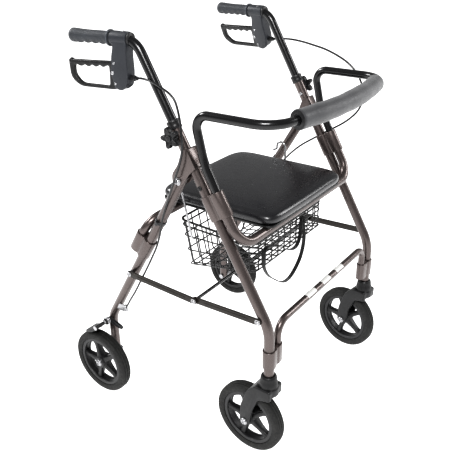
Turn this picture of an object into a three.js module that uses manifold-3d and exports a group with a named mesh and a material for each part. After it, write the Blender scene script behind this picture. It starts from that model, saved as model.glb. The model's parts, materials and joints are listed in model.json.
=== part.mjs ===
// Four-wheeled rollator walker with a padded seat, a wire basket, loop brakes and a folding frame.
// Millimetres, +Z up. The user stands on the +Y side and looks towards -Y.
// Every place below is measured from the line between the two caster stems (Y = 0 there);
// the whole walker is then shifted so that the origin lies under the middle of its bounding box.

import * as THREE from 'three';
import { mergeVertices } from 'three/addons/utils/BufferGeometryUtils.js';
import Module from 'manifold-3d';

const wasm = await Module();
wasm.setup();

// ---- driving dimensions -------------------------------------------------------------------

const FRAME_SHIFT_Y = -265.5;     // caster stem line to the middle of the bounding box
const SIDES = [['left', 1], ['right', -1]];
const GAP = 0.3;                  // clearance between touching pieces

const LEG_X = 250;                // half of the distance between the leg centre lines
const LEG_RADIUS = 12;
const FRONT_LEAN = THREE.MathUtils.degToRad(29.55);
const FRONT_KNEE = [0, 353];      // Y, Z where the leaning and upright parts of the front leg meet
const REAR_KNEE = [494, 206];
const HINGE = [224, 655];         // Y, Z of the pivot that the rear leg folds about
const REAR_LEAN = Math.atan2(REAR_KNEE[0] - HINGE[0], HINGE[1] - REAR_KNEE[1]);
const FRONT_LEG_LENGTH = 488;     // from the knee to the top, along the lean
const FRONT_LEG_FOOT_Z = 236.3;
const REAR_LEG_FOOT_Z = 76;
const BRACKET_PITCH = 28;         // between the two bores of a twin sleeve

const HANDLE_RADIUS = 10.5;
const HANDLE_TOP_Z = 936;
const HANDLE_INNER_END = 330;     // along the front leg, where the telescoping tube ends
const HANDLE_SPLAY = 0.1034;      // outward drift of the grip per millimetre of length
const GRIP_START_Y = 388;
const HOUSING_TURN = { left: -0.384, right: 0 };    // of each brake housing on its grip
const CABLE_RADIUS = 2.4;

const BACKREST_RADIUS = 9.5;
const CROSS_RADIUS = 11;          // front and rear seat tubes
const LOWER_TUBE_RADIUS = 8.5;
const LOWER_TUBE_X = 216;

const BRACE_FRONT = [20, 377];    // Y, Z of the brace pivot on the front leg
const BRACE_MIDDLE = [191, 371];
const BRACE_REAR = [392, 377];

const WHEEL_RADIUS = 90;
const TYRE_WIDTH = 31;
const RIM_RADIUS = 70;
const REAR_WHEEL_X = 301;
const REAR_WHEEL_Y = 494;
const CASTER_TRAIL = 51;
const CASTER_TURN = { left: 0.15, right: 0.035 };   // how far each caster has swivelled

const SEAT_HALF_WIDTH = 172;
const SEAT_FRONT_Y = 45;
const SEAT_REAR_Y = 374;
const FRONT_TUBE = [71, 535];     // Y, Z of the level part of the front seat tube
const REAR_TUBE_Z = 529;
const SEAT_BASE_Z = 546.4;
const SEAT_BASE_THICKNESS = 5.6;
const SEAT_PAD_THICKNESS = 31;

// ---- finishes -----------------------------------------------------------------------------

function finish(color, roughness, metalness) {
  return new THREE.MeshStandardMaterial({ color, roughness, metalness });
}

const frameBronze = finish(0x6b5f5a, 0.35, 0.7);
const blackTube = finish(0x1c1c1e, 0.25, 0.4);
const blackPlastic = finish(0x202022, 0.5, 0);
const slatePlastic = finish(0x474c54, 0.55, 0);
const gripRubber = finish(0x34373d, 0.7, 0);
const tyreRubber = finish(0x3a3a38, 0.9, 0);
const braceSteel = finish(0x3a3734, 0.5, 0.5);
const brightSteel = finish(0xb8b8ba, 0.25, 1);
const blackVinyl = finish(0x2a2a2e, 0.45, 0);
const greyFoam = finish(0x55565a, 0.6, 0);
const blackWire = finish(0x141414, 0.4, 0.3);
const webbing = finish(0x161616, 0.9, 0);

// ---- geometry helpers ---------------------------------------------------------------------

/** Turns a closed geometry into a solid that can be cut and joined. */
function solid(geometry) {
  const bare = geometry.clone();
  bare.deleteAttribute('normal');
  bare.deleteAttribute('uv');
  const welded = mergeVertices(bare, 1e-4);
  return new wasm.Manifold(new wasm.Mesh({
    numProp: 3,
    vertProperties: new Float32Array(welded.attributes.position.array),
    triVerts: new Uint32Array(welded.index.array),
  }));
}

function geometryOf(manifold) {
  const mesh = manifold.getMesh();
  const geometry = new THREE.BufferGeometry();
  geometry.setAttribute('position', new THREE.BufferAttribute(mesh.vertProperties, 3));
  geometry.setIndex(new THREE.BufferAttribute(mesh.triVerts, 1));
  geometry.computeVertexNormals();
  return geometry;
}

function join(...geometries) {
  return geometryOf(geometries.map(solid).reduce((whole, piece) => whole.add(piece)));
}

function cut(geometry, ...tools) {
  return geometryOf(tools.map(solid).reduce((whole, tool) => whole.subtract(tool), solid(geometry)));
}

/** Centre line through corner points, each corner rounded by an arc. */
class BentLine extends THREE.Curve {
  constructor(corners, bendRadii, arcSteps = bendRadii.map(() => 5)) {
    super();
    this.points = [corners[0]];
    this.tangents = [corners[1].clone().sub(corners[0]).normalize()];
    for (let i = 1; i < corners.length - 1; i += 1) {
      this.addBend(corners[i - 1], corners[i], corners[i + 1], bendRadii[i - 1], arcSteps[i - 1]);
    }
    this.points.push(corners.at(-1));
    this.tangents.push(corners.at(-1).clone().sub(corners.at(-2)).normalize());
    this.steps = this.points.length - 1;
  }

  addBend(before, corner, after, radius, arcSteps) {
    const incoming = corner.clone().sub(before).normalize();
    const outgoing = after.clone().sub(corner).normalize();
    const turn = incoming.angleTo(outgoing);
    const axis = incoming.clone().cross(outgoing).normalize();
    const start = corner.clone().addScaledVector(incoming, -radius * Math.tan(turn / 2));
    const toCentre = axis.clone().cross(incoming);
    const centre = start.clone().addScaledVector(toCentre, radius);
    for (let k = 0; k <= arcSteps; k += 1) {
      const angle = (turn * k) / arcSteps;
      const spoke = start.clone().sub(centre).applyAxisAngle(axis, angle);
      this.points.push(centre.clone().add(spoke));
      this.tangents.push(incoming.clone().applyAxisAngle(axis, angle));
    }
  }

  pick(list, t) {
    const place = t * this.steps;
    const low = Math.min(Math.floor(place + 1e-9), this.steps - 1);
    return list[low].clone().lerp(list[low + 1], place - low);
  }

  getPoint(t) {
    return this.pick(this.points, t);
  }

  getTangent(t) {
    return this.pick(this.tangents, t).normalize();
  }

  getPointAt(t) {
    return this.getPoint(t);
  }

  getTangentAt(t) {
    return this.getTangent(t);
  }

  getSpacedPoints(divisions) {
    return this.getPoints(divisions);
  }
}

function roundSection(radius, sides) {
  const points = [];
  for (let i = 0; i < sides; i += 1) {
    const angle = (2 * Math.PI * (i + 0.5)) / sides;
    points.push(new THREE.Vector2(radius * Math.cos(angle), radius * Math.sin(angle)));
  }
  return new THREE.Shape(points);
}

function tube(curve, radius, sides = 16, steps = curve.steps) {
  return new THREE.ExtrudeGeometry(roundSection(radius, sides), { extrudePath: curve, steps });
}

/** Straight round bar between two points. */
function bar(start, end, radius, sides = 16) {
  const along = end.clone().sub(start);
  const geometry = new THREE.CylinderGeometry(radius, radius, along.length(), sides);
  geometry.translate(0, along.length() / 2, 0);
  const turn = new THREE.Quaternion().setFromUnitVectors(new THREE.Vector3(0, 1, 0), along.normalize());
  geometry.applyQuaternion(turn);
  return geometry.translate(start.x, start.y, start.z);
}

/** Tool for a round hole: its flats stay outside the radius, so a shaft of that size fits. */
function drill(start, end, radius, sides = 14) {
  return bar(start, end, radius / Math.cos(Math.PI / sides), sides);
}

/** Outline in the Y-Z plane, given as [y, z] pairs, swept along X between two places. */
function plate(outline, fromX, toX) {
  const drawn = outline instanceof THREE.Shape;
  const shape = drawn ? outline : new THREE.Shape(outline.map(([y, z]) => new THREE.Vector2(y, z)));
  const geometry = new THREE.ExtrudeGeometry(shape, {
    depth: Math.abs(toX - fromX), bevelEnabled: false, curveSegments: 3,
  });
  // shape X -> world Y, shape Y -> world Z, depth -> world X
  geometry.applyMatrix4(new THREE.Matrix4().makeBasis(
    new THREE.Vector3(0, 1, 0), new THREE.Vector3(0, 0, 1), new THREE.Vector3(1, 0, 0),
  ));
  return geometry.translate(Math.min(fromX, toX), 0, 0);
}

/** Closed outline whose corners are rounded: [x, y, radius] triples, anticlockwise. */
function roundedOutline(corners) {
  const shape = new THREE.Shape();
  corners.forEach(([x, y, radius], i) => {
    const here = new THREE.Vector2(x, y);
    const [px, py] = corners.at(i - 1);
    const [nx, ny] = corners[(i + 1) % corners.length];
    const back = new THREE.Vector2(px, py).sub(here).setLength(radius).add(here);
    const ahead = new THREE.Vector2(nx, ny).sub(here).setLength(radius).add(here);
    if (i === 0) {
      shape.moveTo(back.x, back.y);
    } else {
      shape.lineTo(back.x, back.y);
    }
    shape.quadraticCurveTo(x, y, ahead.x, ahead.y);
  });
  shape.closePath();
  return shape;
}

/** Outline that wraps two circles on one line: the section of a twin sleeve. */
function twinOutline(radiusA, radiusB, pitch, segments = 7) {
  const lean = Math.asin((radiusA - radiusB) / pitch);
  const points = [];
  for (let i = 0; i <= segments; i += 1) {
    const angle = Math.PI / 2 - lean + ((Math.PI + 2 * lean) * i) / segments;
    points.push(new THREE.Vector2(radiusA * Math.cos(angle), radiusA * Math.sin(angle)));
  }
  for (let i = 0; i <= segments; i += 1) {
    const angle = -Math.PI / 2 + lean + ((Math.PI - 2 * lean) * i) / segments;
    points.push(new THREE.Vector2(pitch + radiusB * Math.cos(angle), radiusB * Math.sin(angle)));
  }
  return new THREE.Shape(points);
}

/** A twin sleeve: outline X runs along `across`, outline Y along `side`, and its depth along `along`. */
function twinSleeve(centre, across, along, length, radii, bores, pitch) {
  const geometry = new THREE.ExtrudeGeometry(twinOutline(radii[0], radii[1], pitch), {
    depth: length, bevelEnabled: false,
  });
  const side = along.clone().cross(across);
  geometry.applyMatrix4(new THREE.Matrix4().makeBasis(across, side, along));
  const start = centre.clone().addScaledVector(along, -length / 2);
  geometry.translate(start.x, start.y, start.z);
  const tools = bores.map((radius, i) => {
    const low = start.clone().addScaledVector(across, i * pitch).addScaledVector(along, -1);
    return drill(low, low.clone().addScaledVector(along, length + 2), radius);
  });
  return cut(geometry, ...tools);
}

/** Lathe about the X axis: profile of [x, radius] pairs, closed on itself or on the axis. */
function latheX(profile, segments) {
  const geometry = new THREE.LatheGeometry(profile.map(([x, r]) => new THREE.Vector2(r, x)), segments);
  return geometry.applyMatrix4(new THREE.Matrix4().makeBasis(
    new THREE.Vector3(0, 1, 0), new THREE.Vector3(1, 0, 0), new THREE.Vector3(0, 0, -1),
  ));
}

const rollator = new THREE.Group();
const walker = new THREE.Group();
walker.position.y = FRAME_SHIFT_Y;
rollator.add(walker);

function place(name, geometry, material, parent = walker) {
  const mesh = new THREE.Mesh(geometry, material);
  mesh.name = name;
  parent.add(mesh);
  return mesh;
}

// ---- places along the legs ----------------------------------------------------------------

const frontUp = new THREE.Vector3(0, Math.sin(FRONT_LEAN), Math.cos(FRONT_LEAN));
const frontForward = new THREE.Vector3(0, -Math.cos(FRONT_LEAN), Math.sin(FRONT_LEAN));
const rearUp = new THREE.Vector3(0, -Math.sin(REAR_LEAN), Math.cos(REAR_LEAN));
const rearBack = new THREE.Vector3(0, Math.cos(REAR_LEAN), Math.sin(REAR_LEAN));

/** Point on a front leg, `distance` up from its knee, `forward` ahead of the centre line. */
function onFrontLeg(side, distance, forward = 0) {
  return new THREE.Vector3(side * LEG_X, FRONT_KNEE[0], FRONT_KNEE[1])
    .addScaledVector(frontUp, distance)
    .addScaledVector(frontForward, forward);
}

/** Point on a rear leg, `distance` below its hinge, `back` behind the centre line. */
function onRearLeg(side, distance, back = 0) {
  return new THREE.Vector3(side * LEG_X, HINGE[0], HINGE[1])
    .addScaledVector(rearUp, -distance)
    .addScaledVector(rearBack, back);
}

function at(x, [y, z]) {
  return new THREE.Vector3(x, y, z);
}

// ---- front frame --------------------------------------------------------------------------

const HINGE_BOLT_RADIUS = 4;
const HINGE_BOLT_REACH = 19;
const HINGE_BOLT_HEAD = 7.5;

const LEG_BEND = 110;
const LEG_BORE_START = 235;       // up the leg, room for the handle tube to slide down
const COLLAR_START = 473;
const COLLAR_LENGTH = 19;

function frontLeg(side) {
  const line = new BentLine(
    [at(side * LEG_X, [FRONT_KNEE[0], FRONT_LEG_FOOT_Z]), at(side * LEG_X, FRONT_KNEE),
      onFrontLeg(side, FRONT_LEG_LENGTH)],
    [LEG_BEND],
  );
  const boreEnd = onFrontLeg(side, FRONT_LEG_LENGTH + 5);
  const bore = drill(onFrontLeg(side, LEG_BORE_START), boreEnd, HANDLE_RADIUS + GAP);
  return cut(tube(line, LEG_RADIUS, 14), bore);
}

function legCollar(side) {
  const top = COLLAR_START + COLLAR_LENGTH;
  return cut(
    bar(onFrontLeg(side, COLLAR_START), onFrontLeg(side, top), LEG_RADIUS + 2.6, 18),
    drill(onFrontLeg(side, COLLAR_START - 1), onFrontLeg(side, FRONT_LEG_LENGTH + GAP), LEG_RADIUS + GAP),
    drill(onFrontLeg(side, COLLAR_START), onFrontLeg(side, top + 1), HANDLE_RADIUS + GAP),
  );
}

// The channel wraps the front leg and holds the rear leg between its two cheeks.
const BRACKET_CHEEK = 3;
const BRACKET_HALF_GAP = LEG_RADIUS + 0.6;
const BRACKET_OUTLINE = [
  [175, 693, 2], [192, 677, 6], [211, 650, 6], [222, 641, 6], [238, 645, 9],
  [240, 668, 9], [222, 692, 10], [210, 725, 3], [197, 732, 3],
];

function hingeBracket(side) {
  const centre = side * LEG_X;
  const outer = BRACKET_HALF_GAP + BRACKET_CHEEK;
  const body = plate(roundedOutline(BRACKET_OUTLINE), centre - outer, centre + outer);
  const legRoom = drill(onFrontLeg(side, 280), onFrontLeg(side, 470), LEG_RADIUS + GAP);
  const slotOutline = [[0, 280], [0, 480], [-90, 480], [-90, 280]].map(([forward, distance]) => {
    const point = onFrontLeg(side, distance, forward);
    return [point.y, point.z];
  });
  const slot = plate(slotOutline, centre - BRACKET_HALF_GAP, centre + BRACKET_HALF_GAP);
  const boltHole = drill(at(centre - 30, HINGE), at(centre + 30, HINGE), HINGE_BOLT_RADIUS + GAP, 10);
  return cut(body, legRoom, slot, boltHole);
}

function hingeBolt(side) {
  const centre = side * LEG_X;
  const shankStart = at(centre - HINGE_BOLT_REACH, HINGE);
  const shank = bar(shankStart, at(centre + HINGE_BOLT_REACH, HINGE), HINGE_BOLT_RADIUS, 10);
  const headStart = BRACKET_HALF_GAP + BRACKET_CHEEK + GAP;
  const heads = [-1, 1].map((end) => bar(
    at(centre + end * headStart, HINGE), at(centre + end * (headStart + 4.5), HINGE), HINGE_BOLT_HEAD, 6,
  ));
  return join(shank, ...heads);
}

const FRONT_SLEEVE_START = 265;
const FRONT_SLEEVE_LENGTH = 56;

function frontSleeve(side) {
  return twinSleeve(
    onFrontLeg(side, FRONT_SLEEVE_START + FRONT_SLEEVE_LENGTH / 2), frontForward, frontUp,
    FRONT_SLEEVE_LENGTH, [15, 14.6], [LEG_RADIUS + GAP, CROSS_RADIUS + GAP], BRACKET_PITCH,
  );
}

const SEAT_TUBE_BEND = 46;

/** U tube: up into the front sleeve of each side, level under the front of the seat. */
function seatSupportTube() {
  const top = FRONT_SLEEVE_START + 22;
  const line = new BentLine(
    [onFrontLeg(1, top, BRACKET_PITCH), at(LEG_X, FRONT_TUBE), at(-LEG_X, FRONT_TUBE),
      onFrontLeg(-1, top, BRACKET_PITCH)],
    [SEAT_TUBE_BEND, SEAT_TUBE_BEND],
  );
  return tube(line, CROSS_RADIUS, 12);
}

const LOWER_TUBE_TOP_Z = 353;
const LOWER_TUBE_FOOT_Z = 255;

function lowerCrossTube() {
  const line = new BentLine(
    [at(LOWER_TUBE_X, [0, LOWER_TUBE_FOOT_Z]), at(LOWER_TUBE_X, [0, LOWER_TUBE_TOP_Z]),
      at(-LOWER_TUBE_X, [0, LOWER_TUBE_TOP_Z]), at(-LOWER_TUBE_X, [0, LOWER_TUBE_FOOT_Z])],
    [34, 34],
  );
  return tube(line, LOWER_TUBE_RADIUS, 10);
}

const LOWER_CLAMP_MIDDLE_Z = 280;
const LOWER_CLAMP_LENGTH = 46;

function lowerClamp(side) {
  const inwards = new THREE.Vector3(-side, 0, 0);
  return twinSleeve(
    at(side * LEG_X, [0, LOWER_CLAMP_MIDDLE_Z]), inwards, new THREE.Vector3(0, 0, 1),
    LOWER_CLAMP_LENGTH, [15, 11.4], [LEG_RADIUS + GAP, LOWER_TUBE_RADIUS + GAP], LEG_X - LOWER_TUBE_X,
  );
}

SIDES.forEach(([name, side]) => {
  place(`front_leg_${name}`, frontLeg(side), frameBronze);
  place(`leg_collar_${name}`, legCollar(side), blackPlastic);
  place(`hinge_bracket_${name}`, hingeBracket(side), frameBronze);
  place(`hinge_bolt_${name}`, hingeBolt(side), brightSteel);
  place(`front_sleeve_${name}`, frontSleeve(side), frameBronze);
  place(`lower_clamp_${name}`, lowerClamp(side), frameBronze);
});
place('seat_support_tube', seatSupportTube(), frameBronze);
place('lower_cross_tube', lowerCrossTube(), frameBronze);

// ---- backrest -----------------------------------------------------------------------------

const BACKREST_TOP_Z = 804;
const BACKREST_PAD_RADIUS = 21;
const BACKREST_PAD_HALF = 178;
const BACKREST_CROWN_Y = -32;     // furthest forward point of the bow
const BACKREST_END_Y = -12;       // the bow at the ends of the pad

/** One half of the tube's corners, from the sleeve up, over and round to the end of the pad. */
function backrestCorners(side) {
  return [
    onFrontLeg(side, 291, BRACKET_PITCH),
    at(side * LEG_X, [163, 704]),
    at(side * LEG_X, [186, BACKREST_TOP_Z]),
    at(side * (LEG_X - 4), [0, BACKREST_TOP_Z]),
  ];
}

function backrestBow(side, reach) {
  const drop = (BACKREST_END_Y - BACKREST_CROWN_Y) * (reach / BACKREST_PAD_HALF) ** 2;
  return new THREE.Vector3(side * reach, BACKREST_CROWN_Y + drop, BACKREST_TOP_Z);
}

function backrestTube() {
  const line = new BentLine(
    [...backrestCorners(1), backrestBow(1, 150), backrestBow(1, 0), backrestBow(-1, 150),
      ...backrestCorners(-1).reverse()],
    [150, 28, 62, 150, 600, 150, 62, 28, 150],
    [2, 6, 5, 1, 3, 1, 5, 6, 2],
  );
  return tube(line, BACKREST_RADIUS, 10);
}

/** Padded roll round the middle of the tube, bored a little larger than the tube. */
function backrestPad() {
  const bow = new THREE.QuadraticBezierCurve3(
    backrestBow(1, BACKREST_PAD_HALF),
    new THREE.Vector3(0, 2 * BACKREST_CROWN_Y - BACKREST_END_Y, BACKREST_TOP_Z),
    backrestBow(-1, BACKREST_PAD_HALF),
  );
  const end = (side) => at(side * (BACKREST_PAD_HALF + 22), [BACKREST_END_Y + 5, BACKREST_TOP_Z]);
  const boreLine = new BentLine(
    [end(1), backrestBow(1, 150), backrestBow(1, 0), backrestBow(-1, 150), end(-1)],
    [150, 600, 150],
    [1, 3, 1],
  );
  return cut(tube(bow, BACKREST_PAD_RADIUS, 14, 8), tube(boreLine, BACKREST_RADIUS + 2.5, 10));
}

place('backrest_tube', backrestTube(), blackTube);
place('backrest_pad', backrestPad(), greyFoam);

// ---- handles and brakes -------------------------------------------------------------------

const HANDLE_BEND = 50;
const GRIP_END_Y = 495;
const handleKneeY = FRONT_KNEE[0] + (HANDLE_TOP_Z - FRONT_KNEE[1]) * Math.tan(FRONT_LEAN);
const splayAngle = Math.atan(HANDLE_SPLAY);

function handleAxis(side, y) {
  return at(side * (LEG_X + HANDLE_SPLAY * (y - handleKneeY)), [y, HANDLE_TOP_Z]);
}

/** The tube that slides in the front leg and bends back into the grip. */
function handleTube(side, radius) {
  const line = new BentLine(
    [onFrontLeg(side, HANDLE_INNER_END), handleAxis(side, handleKneeY), handleAxis(side, GRIP_END_Y)],
    [HANDLE_BEND],
    [7],
  );
  return tube(line, radius, 12);
}

/** Group whose +Y runs along the grip, with its origin on the tube at the brake housing. */
function handleGroup(side, turn) {
  const group = new THREE.Group();
  group.position.copy(handleAxis(side, GRIP_START_Y));
  group.rotation.set(0, turn, -side * splayAngle, 'ZYX');
  walker.add(group);
  group.updateMatrix();
  return group;
}

// distance along the grip and radius there
const GRIP_PROFILE = [
  [4, 17.3], [8, 17.3], [10, 12.8], [28, 13], [60, 12.8], [84, 13.4], [98, 14.6], [107, 15], [112, 13.2],
];

function grip() {
  const first = GRIP_PROFILE[0][0];
  const last = GRIP_PROFILE.at(-1)[0] + 1;
  const skin = [[first, 0], ...GRIP_PROFILE, [last, 0]];
  const body = new THREE.LatheGeometry(skin.map(([y, r]) => new THREE.Vector2(r, y)), 14);
  const boreEnd = new THREE.Vector3(0, GRIP_END_Y - GRIP_START_Y + 1.5, 0);
  return cut(body, drill(new THREE.Vector3(0, -10, 0), boreEnd, HANDLE_RADIUS + GAP));
}

// Y, Z in the handle group, with corner radius
const HOUSING_OUTLINE = [
  [-2, 8, 5], [-41, 9, 5], [-42, -14, 4], [-40, -34, 6], [-41, -70, 8], [-36, -96, 8],
  [-20, -107, 8], [-3, -102, 6], [4, -70, 9], [0, -36, 8], [-6, -16, 5],
];
const HOUSING_HALF_WIDTH = 14;
const CLAMP_RADIUS = 15;
const LEVER_HALF_WIDTH = 5.5;
const LEVER_ROOM_TOP = -42;       // the slot for the lever, Z and Y
const LEVER_ROOM_FRONT = -35;
const ADJUSTER_Z = -79;

/** Clamp round the tube with two cheeks below it; the lever turns between the cheeks. */
function brakeHousing(side, group) {
  const body = plate(roundedOutline(HOUSING_OUTLINE), -HOUSING_HALF_WIDTH, HOUSING_HALF_WIDTH);
  const clamp = bar(at(0, [-42, 0]), at(0, [1, 0]), CLAMP_RADIUS, 16);
  const adjuster = bar(at(0, [-37, ADJUSTER_Z]), at(0, [-54, ADJUSTER_Z]), 5, 12);
  const tubeRoom = handleTube(side, HANDLE_RADIUS + 0.5).applyMatrix4(group.matrix.clone().invert());
  const slotHalf = LEVER_HALF_WIDTH + 1;
  const slotOutline = [
    [30, -114], [30, LEVER_ROOM_TOP], [LEVER_ROOM_FRONT, LEVER_ROOM_TOP], [LEVER_ROOM_FRONT, -114],
  ];
  const slot = plate(slotOutline, -slotHalf, slotHalf);
  const cableBore = drill(at(0, [-47, ADJUSTER_Z]), at(0, [-60, ADJUSTER_Z]), CABLE_RADIUS + 1, 10);
  return cut(join(body, clamp, adjuster), tubeRoom, slot, cableBore);
}

const LEVER_OUTER = [
  [-10, -47, 5], [-30, -56, 7], [-32, -84, 7], [-16, -99, 6], [4, -108, 6], [103, -110, 16],
  [127, -92, 12], [129, -52, 7], [60, -50, 20],
];
const LEVER_INNER = [
  [16, -58, 5], [60, -60, 20], [114, -62, 9], [115, -84, 9], [97, -102, 11], [18, -101, 6],
];

/** Closed finger loop whose front end is pinned inside the housing. */
function brakeLever() {
  const loop = plate(roundedOutline(LEVER_OUTER), -LEVER_HALF_WIDTH, LEVER_HALF_WIDTH);
  const cutHalf = LEVER_HALF_WIDTH + 1;
  return cut(loop, plate(roundedOutline(LEVER_INNER), -cutHalf, cutHalf));
}

const KNOB_PLACE = 460;
const KNOB_LOBES = 6;

/** Star knob beside the leg: a lobed disc on a short hub. */
function heightKnob(side) {
  const points = [];
  for (let i = 0; i < 36; i += 1) {
    const angle = (2 * Math.PI * i) / 36;
    const radius = 19.5 + 4 * Math.cos(KNOB_LOBES * angle);
    points.push([radius * Math.cos(angle), radius * Math.sin(angle)]);
  }
  const centre = onFrontLeg(side, KNOB_PLACE);
  const disc = plate(points, side * 21, side * 34);
  const hubStart = new THREE.Vector3(side * (LEG_RADIUS + GAP), 0, 0);
  const hub = bar(hubStart, new THREE.Vector3(side * 22, 0, 0), 8, 12);
  return join(disc, hub).translate(centre.x, centre.y, centre.z);
}

SIDES.forEach(([name, side]) => {
  place(`handle_tube_${name}`, handleTube(side, HANDLE_RADIUS), blackTube);
  const group = handleGroup(side, HOUSING_TURN[name]);
  place(`grip_${name}`, grip(), gripRubber, group);
  place(`brake_housing_${name}`, brakeHousing(side, group), slatePlastic, group);
  place(`brake_lever_${name}`, brakeLever(), blackPlastic, group);
  place(`height_knob_${name}`, heightKnob(side), blackPlastic);
});

// ---- rear frame ---------------------------------------------------------------------------

const REAR_LEG_TOP = -14;         // above the hinge
const AXLE_RADIUS = 5;
const REAR_SLEEVE_MIDDLE = 234;   // below the hinge, along the leg
const REAR_SLEEVE_LENGTH = 56;
const REAR_TUBE_BEND = 40;

function rearLeg(side) {
  const centre = side * LEG_X;
  const line = new BentLine(
    [onRearLeg(side, REAR_LEG_TOP), at(centre, REAR_KNEE), at(centre, [REAR_KNEE[0], REAR_LEG_FOOT_Z])],
    [90],
  );
  const hingeHole = drill(at(centre - 30, HINGE), at(centre + 30, HINGE), HINGE_BOLT_RADIUS + GAP, 10);
  const axleHole = drill(
    at(centre - 30, [REAR_WHEEL_Y, WHEEL_RADIUS]), at(centre + 30, [REAR_WHEEL_Y, WHEEL_RADIUS]),
    AXLE_RADIUS + GAP, 10,
  );
  return cut(tube(line, LEG_RADIUS, 14), hingeHole, axleHole);
}

function rearSleeve(side) {
  return twinSleeve(
    onRearLeg(side, REAR_SLEEVE_MIDDLE), rearBack, rearUp,
    REAR_SLEEVE_LENGTH, [15, 14], [LEG_RADIUS + GAP, CROSS_RADIUS + GAP], BRACKET_PITCH,
  );
}

/** U tube: down into the rear sleeve of each side, level under the rear of the seat. */
function rearCrossTube() {
  const foot = REAR_SLEEVE_MIDDLE + 20;
  const level = (HINGE[1] - REAR_TUBE_Z + BRACKET_PITCH * rearBack.z) / rearUp.z;
  const line = new BentLine(
    [onRearLeg(1, foot, BRACKET_PITCH), onRearLeg(1, level, BRACKET_PITCH),
      onRearLeg(-1, level, BRACKET_PITCH), onRearLeg(-1, foot, BRACKET_PITCH)],
    [REAR_TUBE_BEND, REAR_TUBE_BEND],
  );
  return tube(line, CROSS_RADIUS, 12);
}

SIDES.forEach(([name, side]) => {
  place(`rear_leg_${name}`, rearLeg(side), frameBronze);
  place(`rear_sleeve_${name}`, rearSleeve(side), frameBronze);
});
place('rear_cross_tube', rearCrossTube(), frameBronze);

// ---- folding braces -----------------------------------------------------------------------

const BRACE_THICKNESS = 4.5;
const BRACE_FRONT_X = 262.8;      // inner face of the front bars
const BRACE_REAR_X = BRACE_FRONT_X + BRACE_THICKNESS + 0.8;
const BRACE_HALF_HEIGHT = 8;

/** Flat bar with round ends between two pivots in the Y-Z plane. */
function braceBar(from, to, innerX, side) {
  const length = Math.hypot(to[0] - from[0], to[1] - from[1]);
  const outline = twinOutline(BRACE_HALF_HEIGHT, BRACE_HALF_HEIGHT, length, 6);
  const geometry = plate(outline, side * innerX, side * (innerX + BRACE_THICKNESS));
  geometry.rotateX(Math.atan2(to[1] - from[1], to[0] - from[0]));
  return geometry.translate(0, from[0], from[1]);
}

SIDES.forEach(([name, side]) => {
  place(`brace_front_${name}`, braceBar(BRACE_FRONT, BRACE_MIDDLE, BRACE_FRONT_X, side), braceSteel);
  place(`brace_rear_${name}`, braceBar(BRACE_REAR, BRACE_MIDDLE, BRACE_REAR_X, side), braceSteel);
});
const rodReach = BRACE_FRONT_X - GAP;
place('cross_rod', bar(at(-rodReach, BRACE_MIDDLE), at(rodReach, BRACE_MIDDLE), 4, 12), blackTube);

// ---- wheels -------------------------------------------------------------------------------

const TYRE_BED = RIM_RADIUS + GAP;

function tyre() {
  const half = TYRE_WIDTH / 2;
  const profile = [
    [-half + 2, TYRE_BED], [-half, 80], [-half + 4, 88], [-5, WHEEL_RADIUS], [5, WHEEL_RADIUS],
    [half - 4, 88], [half, 80], [half - 2, TYRE_BED], [-half + 2, TYRE_BED],
  ];
  return latheX(profile, 36);
}

const SPOKES = 5;
const RIM_INNER_RADIUS = 60;
const HUB_RADIUS = 17;
const HUB_HALF_LENGTH = 16;
const SPOKE_HALF_WIDTH = 7;
const RIM_HALF_WIDTH = 12;

function arcPoints(radius, from, to, steps) {
  const points = [];
  for (let i = 0; i <= steps; i += 1) {
    const angle = from + ((to - from) * i) / steps;
    points.push(new THREE.Vector2(radius * Math.cos(angle), radius * Math.sin(angle)));
  }
  return points;
}

/** Window between two spokes: an outer arc, an inner arc and two sides parallel to the spokes. */
function rimWindow(index) {
  const pitch = (2 * Math.PI) / SPOKES;
  const middle = pitch * (index + 0.5);
  const outerHalf = pitch / 2 - Math.asin(SPOKE_HALF_WIDTH / RIM_INNER_RADIUS);
  const innerHalf = pitch / 2 - Math.asin(SPOKE_HALF_WIDTH / (HUB_RADIUS + 4));
  return new THREE.Path([
    ...arcPoints(RIM_INNER_RADIUS, middle - outerHalf, middle + outerHalf, 5),
    ...arcPoints(HUB_RADIUS + 4, middle + innerHalf, middle - innerHalf, 2),
  ]);
}

function rim() {
  const disc = roundSection(RIM_RADIUS, 36);
  for (let i = 0; i < SPOKES; i += 1) {
    disc.holes.push(rimWindow(i));
  }
  const web = new THREE.ExtrudeGeometry(disc, { depth: 2 * RIM_HALF_WIDTH, bevelEnabled: false });
  web.applyMatrix4(new THREE.Matrix4().makeBasis(
    new THREE.Vector3(0, 1, 0), new THREE.Vector3(0, 0, 1), new THREE.Vector3(1, 0, 0),
  ));
  web.translate(-RIM_HALF_WIDTH, 0, 0);
  const onAxle = (x) => new THREE.Vector3(x, 0, 0);
  const hub = bar(onAxle(-HUB_HALF_LENGTH), onAxle(HUB_HALF_LENGTH), HUB_RADIUS, 14);
  const bore = drill(onAxle(-30), onAxle(30), AXLE_RADIUS + GAP, 10);
  return cut(join(web, hub), bore);
}

function wheelGroup(parent, x, y, turn = 0) {
  const group = new THREE.Group();
  group.position.set(x, y, WHEEL_RADIUS);
  group.rotation.z = turn;
  parent.add(group);
  return group;
}

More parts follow.
